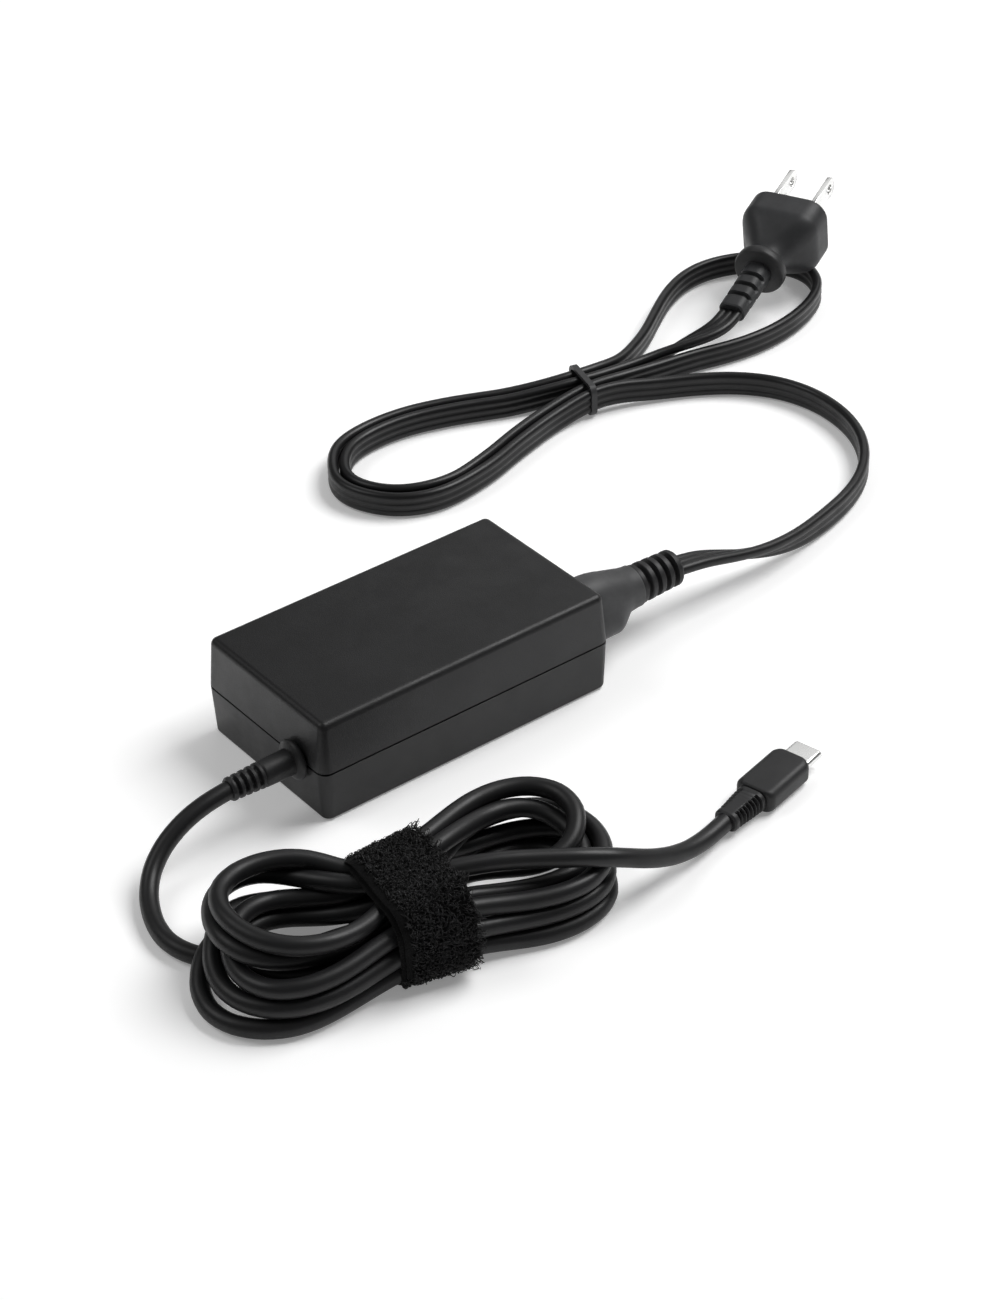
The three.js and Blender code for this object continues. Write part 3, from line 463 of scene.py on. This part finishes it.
def through(points, step):
    """Points step apart on the centripetal Catmull-Rom curve through the given ones."""
    p = np.array(points, float)
    p = np.vstack([2 * p[0] - p[1], p, 2 * p[-1] - p[-2]])
    spans = []
    for a, b, c, d in zip(p[:-3], p[1:-2], p[2:-1], p[3:]):
        t1 = np.linalg.norm((b - a)[:3]) ** 0.5
        t2 = t1 + np.linalg.norm((c - b)[:3]) ** 0.5
        t3 = t2 + np.linalg.norm((d - c)[:3]) ** 0.5
        t = np.linspace(t1, t2, 24, endpoint=False)[:, None]
        ab = (t1 - t) / t1 * a + t / t1 * b
        bc = (t2 - t) / (t2 - t1) * b + (t - t1) / (t2 - t1) * c
        cd = (t3 - t) / (t3 - t2) * c + (t - t2) / (t3 - t2) * d
        abc = (t2 - t) / t2 * ab + t / t2 * bc
        bcd = (t3 - t) / (t3 - t1) * bc + (t - t1) / (t3 - t1) * cd
        spans.append((t2 - t) / (t2 - t1) * abc + (t - t1) / (t2 - t1) * bcd)
    return evenly(np.vstack(spans + [p[-2:-1]]), step)


def relaxed(line, times):
    """The line with its kinks evened out and its ends kept, with the shrinking of its bends put back."""
    once = evened(line, times)
    return 2 * once - evened(once, times)


def evened(line, times):
    line = line.copy()
    for _ in range(times):
        line[1:-1] += 0.25 * (line[:-2] + line[2:] - 2 * line[1:-1])
    return line


# ---- output cord and its hank ----------------------------------------------------------------------
def hank_place():
    turn = Matrix.Rotation(math.radians(HANK["turn"]), 4, "Z")
    return Matrix.Translation((HANK["x"], HANK["y"], 0)) @ turn


def moved(points, place):
    return [tuple(place @ Vector(point)) for point in points]


def wound_route():
    """The hank's turns in its own frame: in at the left, out at the right on top."""
    route = [(0, *FRONT_STRANDS[0])]
    for i, (right, left) in enumerate(zip(RIGHT_TURNS, LEFT_TURNS)):
        route += right + [(0, *BACK_STRANDS[i])]
        route += left[::-1] + [(0, *FRONT_STRANDS[i + 1])]
    return route


def held_by_strap(line, radius):
    """Keeps the strands inside the strap where they pass through it."""
    outside = np.clip(np.abs(line[:, 0]) - STRAP["width"] / 2, 0, None)
    near = (np.abs(line[:, 0]) < 22) & (np.abs(line[:, 1]) < 25)
    low = STRAP["front"] + STRAP_ROOM + radius - 0.9 * outside
    high = STRAP["back"] - STRAP_ROOM - radius + 0.9 * outside
    top = STRAP["top"] * (1 + STRAP["tilt"] * line[:, 0]) - STRAP_ROOM - radius + 0.6 * outside
    line[near, 1] = np.clip(line[near, 1], low[near], high[near])
    line[near, 2] = np.minimum(line[near, 2], top[near])
    floor = np.where(np.abs(line[:, 0]) < STRAP["width"] / 2 + 1, STRAP["bottom"] + 2 + radius, radius)
    line[:, 2] = np.maximum(line[:, 2], np.where(near, floor, radius))
    return line


def settled(line, radius, rounds, step):
    """Pushes the strands of the wound cord apart, a set number of times, while it keeps to its route.
    A few that cross still press into each other, by up to 0.5 mm."""
    aim = line.copy()
    count = len(line)
    index = np.arange(count)
    skip = int(4 * radius / step) + 2
    neighbours = np.abs(index[:, None] - index[None, :]) < skip
    free = np.clip(np.minimum(index, count - 1 - index) / 12, 0, 1)[:, None]
    for turn in range(rounds):
        gap = line[:, None] - line[None, :]
        distance = np.sqrt((gap ** 2).sum(-1))
        distance[neighbours] = np.inf
        a, b = np.nonzero(distance < 2 * radius)
        push = np.zeros_like(line)
        apart = distance[a, b][:, None]
        np.add.at(push, a, 0.3 * (2 * radius - apart) * gap[a, b] / np.maximum(apart, 0.2))
        size = np.linalg.norm(push, axis=1, keepdims=True)
        push *= np.minimum(1, 0.6 / np.maximum(size, 1e-6))
        line = line + free * push
        shift = line - aim
        bend = np.zeros_like(line)
        bend[1:-1] = shift[:-2] + shift[2:] - 2 * shift[1:-1]
        line += free * 0.25 * bend - free * 0.01 * shift * (1 - turn / rounds)
        line = held_by_strap(line, radius)
    return line


def add_output_cord():
    place = hank_place()
    back = place.inverted()
    step, final_step, rounds = 2.4, 1.8, 160
    radius = OUTPUT_CORD / 2
    route = moved(OUTPUT_START, back) + wound_route() + moved(OUTPUT_END, back)
    line = through(route, step)
    line = relaxed(settled(relaxed(line, 12), radius + 0.02, rounds, step), 6)
    line = evenly(line, final_step)
    points = [Vector(point) * MM for point in moved(line, place)]
    curve = bpy.data.curves.new("output_cord", "CURVE")
    curve.dimensions = "3D"
    curve.bevel_depth = radius * MM
    curve.bevel_resolution = 7
    curve.use_fill_caps = True
    spline = curve.splines.new("POLY")
    spline.points.add(len(points) - 1)
    for spot, point in zip(spline.points, points):
        spot.co = (*point, 1)
    spline.use_smooth = True
    cord = bpy.data.objects.new("output_cord", curve)
    bpy.context.scene.collection.objects.link(cord)
    finish_piece(cord, "jacket", "adapter", ["output_cord_start", "output_cord_hank", "output_cord_end"])
    return cord, sum((b - a).length for a, b in zip(points, points[1:])), tuple(points[0])


# ---- strap -----------------------------------------------------------------------------------------
def strap_outline():
    """The strap's path round the hank at its middle, as (across, up)."""
    half_width = (STRAP["back"] - STRAP["front"]) / 2 - 2.0
    half_height = (STRAP["top"] - STRAP["bottom"]) / 2 - 2.0
    middle = ((STRAP["back"] + STRAP["front"]) / 2, (STRAP["top"] + STRAP["bottom"]) / 2)
    upper = rounded_rectangle(half_width, half_height, STRAP["corner"] - 2, 12)
    lower = rounded_rectangle(half_width, half_height, STRAP["low_corner"] - 2, 12)
    corners = upper[:len(upper) // 2] + lower[len(lower) // 2:]
    return evenly(np.array(corners + corners[:1]), 0.5)[:-1] + np.array(middle)


def tilted(points):
    """The strap stands a little higher and further out at its right edge, and runs slantwise."""
    along, across, up = points[..., 0], points[..., 1], points[..., 2]
    lean = 1 + STRAP["tilt"] * along
    along = along - STRAP["skew"] * (across + 20)
    return np.stack([along, across * np.where(across < 0, 1 + 0.4 * (lean - 1), 1), up * lean], axis=-1)


def add_strap():
    base = strap_outline()
    count = len(base)
    ahead = np.roll(base, -1, axis=0) - np.roll(base, 1, axis=0)
    ahead /= np.linalg.norm(ahead, axis=1, keepdims=True)
    outward = np.stack([ahead[:, 1], -ahead[:, 0]], axis=1)
    begin = int(0.10 * count)
    turns = 1.42
    total = int(turns * count)
    thickness = 0.95
    across = 18
    half = STRAP["width"] / 2 - 0.35
    rings, spots = [], []
    for i in range(total + 1):
        k = (begin + i) % count
        layer = ease(i, 0.86 * count, 1.02 * count)
        slide = 0.9 * layer - 0.35
        lift = 0.15 + layer * (thickness + 0.12)
        wave = 0.16 * math.sin(0.21 * i) + 0.1 * math.sin(0.53 * i + 1)
        ring = []
        for face, order in ((1, range(across + 1)), (0, range(across, -1, -1))):
            for j in order:
                u = -half + 2 * half * j / across + slide + wave * (1 if j == across else 0.4)
                height = lift + thickness * face + (0.3 - 0.6 * face) * (j in (0, across))
                ring.append((u, *(base[k] + outward[k] * height)))
        rings.append([tuple(point) for point in tilted(np.array(ring))])
        if i >= total - count:
            spots.append((*(base[k] + outward[k] * (lift + thickness)), *outward[k], *ahead[k], slide, layer))
    place = hank_place()
    strap = build("cable_strap_band", loft(rings), "strap", replaces=["cable_strap"], place=place, sharp=60)
    pile = add_pile(np.array(spots), half, place)
    path = sum(float(np.linalg.norm(b - a)) for a, b in zip(base, base[1:])) * total / count
    return strap, pile, path


def add_pile(spots, half, place):
    """The strap's loop pile: arched fibres all over its outer face, leaning out over its right edge."""
    rng = np.random.default_rng(11)
    fibres = 7000
    sides, segments = 3, 5
    row = spots[rng.integers(0, len(spots), fibres)]
    layer, slide = row[:, 7], row[:, 6]
    u = rng.uniform(-half + 0.6 + layer, half + 0.15, fibres)
    edge = np.clip((u - half + 1.6) / 1.6, 0, 1)
    outward = np.stack([1.2 * edge ** 2, row[:, 2], row[:, 3]], axis=1)
    outward /= np.linalg.norm(outward, axis=1, keepdims=True)
    ahead = np.stack([0 * u, row[:, 4], row[:, 5]], axis=1)
    root = np.stack([u + slide, row[:, 0], row[:, 1]], axis=1) - 0.15 * outward
    turn = rng.uniform(0, math.pi, fibres)
    stray = rng.random(fibres) < 0.03 + 0.3 * edge
    height = rng.uniform(0.35, 1.15, fibres) * np.where(stray, 1.4 + 0.9 * edge, 1)
    radius = rng.uniform(0.3, 0.8, fibres)
    thick = rng.uniform(0.06, 0.14, fibres)
    flat = np.cos(turn)[:, None] * np.cross(ahead, outward) + np.sin(turn)[:, None] * ahead
    up = outward + rng.normal(0, 0.35, (fibres, 1)) * flat + rng.normal(0, 0.3, (fibres, 1)) * ahead
    side = np.cross(flat, up)
    side /= np.linalg.norm(side, axis=1, keepdims=True)
    verts = np.empty((fibres, segments + 1, sides, 3))
    for s in range(segments + 1):
        angle = math.pi * s / segments
        spine = root + flat * (radius * math.cos(angle))[:, None] + up * (height * math.sin(angle))[:, None]
        normal = flat * math.cos(angle) + up * math.sin(angle)
        for t in range(sides):
            around = 2 * math.pi * t / sides
            verts[:, s, t] = spine + thick[:, None] * (math.cos(around) * side + math.sin(around) * normal)
    verts = tilted(verts).reshape(-1, 3)
    verts[:, 2] = np.maximum(verts[:, 2], 0.02)
    ring = np.arange(sides)
    quad = np.stack([ring, (ring + 1) % sides, (ring + 1) % sides + sides, ring + sides], axis=1)
    starts = (np.arange(fibres)[:, None] * (segments + 1) + np.arange(segments)).reshape(-1, 1, 1) * sides
    faces = (starts + quad).reshape(-1, 4)
    turned_verts = verts @ np.array(place.to_3x3()).T + np.array(place.translation)
    mesh = bpy.data.meshes.new("cable_strap_pile")
    mesh.from_pydata((turned_verts * MM).tolist(), [], faces.tolist())
    mesh.shade_smooth()
    pile = bpy.data.objects.new("cable_strap_pile", mesh)
    bpy.context.scene.collection.objects.link(pile)
    return finish_piece(pile, "strap-pile", "adapter")


# ---- casing ----------------------------------------------------------------------------------------
def case_ring(inset, z):
    outline = rounded_rectangle(CASE["length"] / 2 - inset, CASE["width"] / 2 - inset,
                                max(CASE["corner"] - inset, 0.5), 8)
    return [(x, y, z) for x, y in outline]


def fillet(inset, z, radius, up, count=7):
    """Rings round a long edge: from the wall at (inset, z - radius) to the face at z."""
    rings = []
    for i in range(count + 1):
        angle = math.radians(90 * i / count)
        rings.append((inset + radius * (1 - math.cos(angle)), z - up * radius * (1 - math.sin(angle))))
    return rings


def inlet_cutter(reach=0.3):
    y, z = INLET["y"], INLET["z"]
    outline = rounded_rectangle(INLET["width"] / 2 + reach, INLET["height"] / 2 + reach, 0.8, 4)
    return raw_object("cutter", prism([(y + a, z + b) for a, b in outline], 40, 50))


def gland_cutter():
    profile = [(-50, 3.95), (-40, 3.95)]
    return raw_object("cutter", turned(profile), Matrix.Translation((0, GLAND_Y, SEAM_Z)))


def add_casing():
    low, high = SEAM_Z - CASE["seam"] / 2, SEAM_Z + CASE["seam"] / 2
    top = [(2, CASE["height"] - 2.2), (2, high + 1.9), (0.9, high + 1.9), (0.9, high + 0.1), (0.12, high)]
    top += [(0, high + 0.12)] + fillet(1.05, CASE["height"], 1.8, 1)
    build("case_top", loft([case_ring(*spot) for spot in top]), "case", replaces=["top_cover"],
          tools=[inlet_cutter(), gland_cutter()])
    bottom = [(2, 2.2), (2, 12), (2.4, 12.3), (2.4, low + 1.7), (1.2, low + 1.7), (1.2, low), (0.1, low)]
    bottom += [(0, low - 0.08)] + fillet(0.65, 0, 1.0, -1)
    label = raw_object("cutter", loft([[(x, y, z) for x, y in rounded_rectangle(29.3, 15.3, 1, 4)]
                                       for z in (-1, 0.6)]))
    build("case_bottom", loft([case_ring(*spot) for spot in bottom]), "case", replaces=["bottom_cover"],
          tools=[inlet_cutter(), gland_cutter(), label])


# ---- mains inlet and connector --------------------------------------------------------------------
def lobed(radius, top_radius=None, count=96):
    """The outline round the three pins, by angle about the middle: at that distance from them, or at
    top_radius from the earth pin."""
    spots = []
    for name, (y, z) in PINS.items():
        size = top_radius if top_radius and name == "earth" else radius
        spots += [(y + size * math.cos(a), z + size * math.sin(a)) for a in
                  (2 * math.pi * i / 60 for i in range(60))]
    outline = []
    for i in range(count):
        angle = 2 * math.pi * i / count
        across, up = math.cos(angle), math.sin(angle)
        # The hull's reach along a direction is where the ray leaves it: the least over its supports.
        reach = min(max(y * math.cos(b) + z * math.sin(b) for y, z in spots)
                    / max(math.cos(b - angle), 1e-3)
                    for b in (angle + math.radians(d) for d in range(-85, 86, 5)))
        outline.append((reach * across, reach * up))
    return outline


def connector_place():
    return Matrix.Translation((0, INLET["y"], INLET["z"]))


def add_inlet():
    place = connector_place()
    well = raw_object("cutter", prism(lobed(3.65), INLET["floor"], 50), place)
    holes = [raw_object("cutter", turned([(20, 1.45), (INLET["floor"] + 1, 1.45)], 24),
                        place @ Matrix.Translation((0, y, z))) for y, z in PINS.values()]
    outline = rounded_rectangle(INLET["width"] / 2, INLET["height"] / 2, 0.6, 4)
    build("inlet_moulding", prism(outline, INLET["back"], INLET["front"]), "moulding",
          replaces=["inlet_housing"], place=place, tools=[well, *holes], edge=0.25)
    for name, (y, z) in PINS.items():
        profile = [(22.5, 1.15), (40.6, 1.15), (41.3, 1.0), (41.8, 0.65), (42, 0.2)]
        build(f"inlet_pin_{name}_round", turned(profile, 24), "plated", replaces=[f"inlet_pin_{name}"],
              place=place @ Matrix.Translation((0, y, z)))


def connector_ring(x, outline):
    """One section of the connector: full at the case, then drawing in to the round collar."""
    collar = 5.75
    soft = 0.55 * (1 - ease(x, 45.35, 46.1))
    below = 0.86 * ease(x, 54, 61.5) + 0.14 * ease(x, 58, 65.4)
    above = 0.3 * ease(x, 50, 57) + 0.5 * ease(x, 54, 63) + 0.2 * ease(x, 60, 65.4)
    ring = []
    for y, z in outline:
        size = math.hypot(y, z)
        share = below + (above - below) * ease(z / size, -0.3, 0.6)
        target = collar + (size - collar) * (1 - share) - soft
        ring.append((x, y / size * target, z / size * target))
    return ring


def add_connector():
    place = connector_place()
    outline = lobed(4.45, 6.55)
    xs = [45.35, 45.5, 45.75, 46.1, 47, 50, 52] + [53 + 0.56 * i for i in range(23)]
    body = loft([connector_ring(x, outline) for x in xs])
    build("connector_body", body, "soft-connector", "mains_lead", place=place, sharp=50)
    nose_outline = lobed(3.3)
    sockets = [raw_object("cutter", turned([(30, 1.5), (44, 1.5)], 24),
                          place @ Matrix.Translation((0, y, z))) for y, z in PINS.values()]
    pockets = [raw_object("cutter", turned([(33, 2.2), (43.5, 2.2)], 24),
                          place @ Matrix.Translation((0, y, z))) for y, z in PINS.values()]
    build("connector_nose", prism(nose_outline, 31.2, 45.3), "soft-connector", "mains_lead",
          ["mains_connector"], place=place, tools=sockets + pockets, edge=0.3)

    def outline_at(x):
        return circle(5.4 - 0.35 * ease(x, 66, 79), 64)

    collar = ribbed(65.2, 79.3, outline_at, 4, 0.95, 1.35, 1.5, lambda angle: 0)
    build("connector_relief", collar, "soft", "mains_lead", ["mains_connector_relief"], place=place, sharp=50)


# ---- flat mains cord ---------------------------------------------------------------------------------
def flat_section():
    """Three cores side by side: the outline of a flat cord with two grooves on each face."""
    half = MAINS_CORD["width"] / 2
    core = MAINS_CORD["thickness"] / 2
    centres = (-half + core, 0, half - core)
    upper = []
    count = 22
    for i in range(count + 1):
        s = half * math.cos(math.pi * i / count)
        reach = max(math.sqrt(max(core ** 2 - (s - c) ** 2, 0)) for c in centres)
        upper.append((s, max(reach, 0.72 * core * (1 if abs(s) < half - core else 0))))
    return upper + [(s, -t) for s, t in upper[-2:0:-1]]


def add_mains_cord():
    line = through(MAINS_ROUTE, 2.0)
    line = relaxed(line, 6)
    line[:, 2] = np.maximum(line[:, 2], 3.7 * np.sin(np.radians(line[:, 3])))
    tangent = np.gradient(line[:, :3], axis=0)
    tangent /= np.linalg.norm(tangent, axis=1, keepdims=True)
    section = flat_section()
    rings = []
    for point, ahead in zip(line, tangent):
        side = np.array([-ahead[1], ahead[0], 0])
        side /= np.linalg.norm(side)
        up = np.cross(ahead, side)
        roll = math.radians(point[3])
        across = side * math.cos(roll) - up * math.sin(roll)
        over = np.cross(ahead, across)
        rings.append([tuple(point[:3] + across * s + over * t) for s, t in section])
    cord = build("mains_cord", loft(rings), "jacket-flat", "mains_lead",
                 ["mains_cord_lead", "mains_cord_left_loops", "mains_cord_right_loop",
                  "mains_cord_plug_lead"], sharp=70)
    return cord, line[:, :3] * MM


def add_tie():
    place = (Matrix.Translation((TIE["x"], TIE["y"], TIE["z"]))
             @ Matrix.Rotation(math.radians(TIE["turn"] - 90), 4, "Z"))
    rings = []
    for grow in (0, 1.0):
        for x in ((-1, 1) if grow else (1, -1)):
            outline = rounded_rectangle(7.35 + grow, 4.1 + grow, 2 + 0.5 * grow, 6)
            rings.append([(x * 0.9, y, z) for y, z in outline])
    build("wire_tie", loft(rings, closed=True), "soft", "mains_lead", ["twist_tie"], place=place)


# ---- mains plug -------------------------------------------------------------------------------------
def plug_place():
    return (Matrix.Translation((PLUG["x"], PLUG["y"], PLUG["z"]))
            @ Matrix.Rotation(math.radians(PLUG["turn"]), 4, "Z")
            @ Matrix.Rotation(-math.radians(PLUG["lift"]), 4, "Y"))


def add_plug():
    place = plug_place()

    def outline_at(x):
        t = x / PLUG["relief"]
        return rounded_rectangle(4.1 + 0.2 * t, 3.2 + 0.8 * t, 2.6 + t, 12)

    def spared(angle):
        return 1 - ease(abs(math.sin(angle)), 0.2, 0.45)

    relief = ribbed(0.1, PLUG["relief"] + 0.1, outline_at, 3, 3.2, 1.6, 1.2, spared)
    build("plug_relief", relief, "soft-plug", "mains_lead", ["mains_plug_relief"], place=place, sharp=50)
    disc, face = PLUG["disc"], PLUG["face"]
    profile = [(PLUG["relief"], 7.6), (PLUG["relief"] + 0.3, 8.0), (PLUG["relief"] + 0.9, 8.2),
               (disc - 0.9, 8.2), (disc - 0.3, 8.0), (disc, 7.5)]
    build("plug_disc", turned(profile, 72), "soft", "mains_lead", place=place, sharp=50)
    rings = []
    for i in range(40):
        x = disc + (face - disc) * i / 39
        swell = ease(x, disc + 1.5, disc + 15)
        width = 6.2 + 6.3 * swell
        height = 5.8 + 5.1 * swell
        soft = 1.2 * ease(x, face - 1.4, face) ** 2
        corner = min(width, height) * (0.98 - 0.42 * swell)
        rings.append([(x, y, z) for y, z in rounded_rectangle(width - soft, height - soft, corner, 12)])
    build("plug_body", loft(rings), "soft-plug", "mains_lead", ["mains_plug_body"], place=place, sharp=50)
    for name, side in (("line", -1), ("neutral", 1)):
        outline = [(face + 0.3, -3.17), (face + 15.8, -3.17), (face + 17.8, -1.9), (face + 17.8, 1.9),
                   (face + 15.8, 3.17), (face + 0.3, 3.17)]
        centre = 6.35 * side
        sheet = loft([[(x, y, z + 4.2) for x, z in outline] for y in (centre - 0.76, centre + 0.76)])
        hole = loft([[(face + 14 + a, y, 4.2 + b) for a, b in circle(1.6, 24)]
                     for y in (centre - 3, centre + 3)])
        build(f"plug_blade_{name}_flat", sheet, "plated", "mains_lead", [f"plug_blade_{name}"], place=place,
              tools=[raw_object("cutter", hole, place)], edge=0.2)
    pin = [(face + 0.3, 2.38), (face + 17, 2.38), (face + 18.6, 2.05), (face + 19.7, 1.3), (face + 20.2, 0.4)]
    build("plug_earth_pin_round", turned(pin, 32), "plated", "mains_lead", ["plug_earth_pin"],
          place=place @ Matrix.Translation((0, 0, -7.6)))


# ---- output relief and USB-C plug ---------------------------------------------------------------------
def add_gland():
    place = Matrix.Translation((0, GLAND_Y, SEAM_Z)) @ Matrix.Rotation(math.pi, 4, "Z")

    def outline_at(x):
        return circle(3.5 - 0.4 * ease(x, 52, 65), 64)

    def spared(angle):
        return 0.75 * (1 - ease(abs(math.cos(angle - math.radians(45))), 0.5, 0.7))

    barrel = ribbed(44.8, 55.8, outline_at, 1, 0.5, 0.1, 0, spared)
    ribs = ribbed(55.6, 65.0, outline_at, 4, 0.7, 0.95, 1.15, spared)
    nose = [(45.5, 4.7), (45.55, 5.15), (45.8, 5.35), (46.3, 5.35), (46.75, 5.1), (47.1, 4.6), (47.4, 3.9),
            (47.6, 3.5)]
    grip = [(39.8, 4.6), (40, 5), (42.3, 5), (42.3, 3.6), (45.0, 3.6)]
    build("output_relief", ribs, "soft", replaces=["output_cord_gland"], place=place, sharp=50)
    build("output_relief_barrel", barrel, "soft", place=place, sharp=50)
    build("output_relief_collar", turned(nose), "soft", place=place, sharp=50)
    build("output_relief_grip", turned(grip), "soft", place=place, sharp=50)


def usb_place():
    return (Matrix.Translation((USB["x"], USB["y"], USB["z"]))
            @ Matrix.Rotation(math.radians(USB["turn"]), 4, "Z"))


def add_usb_plug():
    place = usb_place()

    def outline_at(x):
        t = ease(x, 0, 11.6)
        return rounded_rectangle(3.3 + 0.7 * t, 2.65 + 0.2 * t, 2.3, 14)

    def spared(angle):
        return 1 - ease(abs(math.cos(angle)), 0.52, 0.72)

    relief = ribbed(0.1, 11.9, outline_at, 7, 1.5, 0.8, 1.2, spared, 0.12)
    build("usb_relief", relief, "soft", replaces=["usb_c_relief"], place=place, sharp=50)
    start, end, half, tall = 11.8, 29.4, 5.6, 3.2
    rear, front, lip, side = 1.8, 2.2, 0.7, 2.1  # radii of its ends' corners, end edges and long edges
    rings = []
    for i in range(61):
        x = start + (end - start) * (0.5 - 0.5 * math.cos(math.pi * i / 60))
        corner = rear if x - start < end - x else front
        near = min(x - start, end - x)
        pull = corner - math.sqrt(max(corner ** 2 - max(corner - near, 0) ** 2, 0))
        lift = lip - math.sqrt(max(lip ** 2 - max(lip - near, 0) ** 2, 0))
        outline = rounded_rectangle(half - pull, tall - lift, side - 0.6 * lift, 10)
        rings.append([(x, y, z) for y, z in outline])
    build("usb_overmould", loft(rings), "soft", replaces=["usb_c_overmould"], place=place, sharp=50)
    steps = [(29.0, 0.0), (35.7, 0.0), (35.95, 0.06), (36.05, 0.15), (35.95, 0.24), (35.7, 0.3), (29.0, 0.3)]
    shell = [[(x, y, z) for y, z in rounded_rectangle(4.125 - inset, 1.225 - inset, 1.2 - inset, 10)]
             for x, inset in steps]
    build("usb_shell", loft(shell, closed=True), "plated", replaces=["usb_c_shell"], place=place, sharp=50)
    contacts = joined(*[box(30.6, 34.4, y - 0.12, y + 0.12, z - 0.03, z + 0.03)
                        for y in (-2.75 + 0.5 * i for i in range(12)) for z in (-0.36, 0.36)])
    build("usb_contacts", contacts, "brass", place=place)


# ---- circuit and other carried parts -----------------------------------------------------------------
def paint_inside():
    """Gives the parts that are kept from the model their finish."""
    slots = {row["node"]: row["material_slot"] for row in frame["record"]["subparts"]}
    for name, part in frame["nodes"].items():
        look = LOOKS[slots[name]]
        if not part.material_slots:
            part.data.materials.append(look)
        for slot in part.material_slots:
            slot.link = "OBJECT"
            slot.material = look


LOOKS = make_looks()
add_camera()
paint_inside()
output_cord, output_length, output_exit = add_output_cord()
mains_cord, mains_line = add_mains_cord()
add_studio()
add_casing()
add_inlet()
add_gland()
add_connector()
add_tie()
add_plug()
add_usb_plug()
strap, pile, strap_length = add_strap()
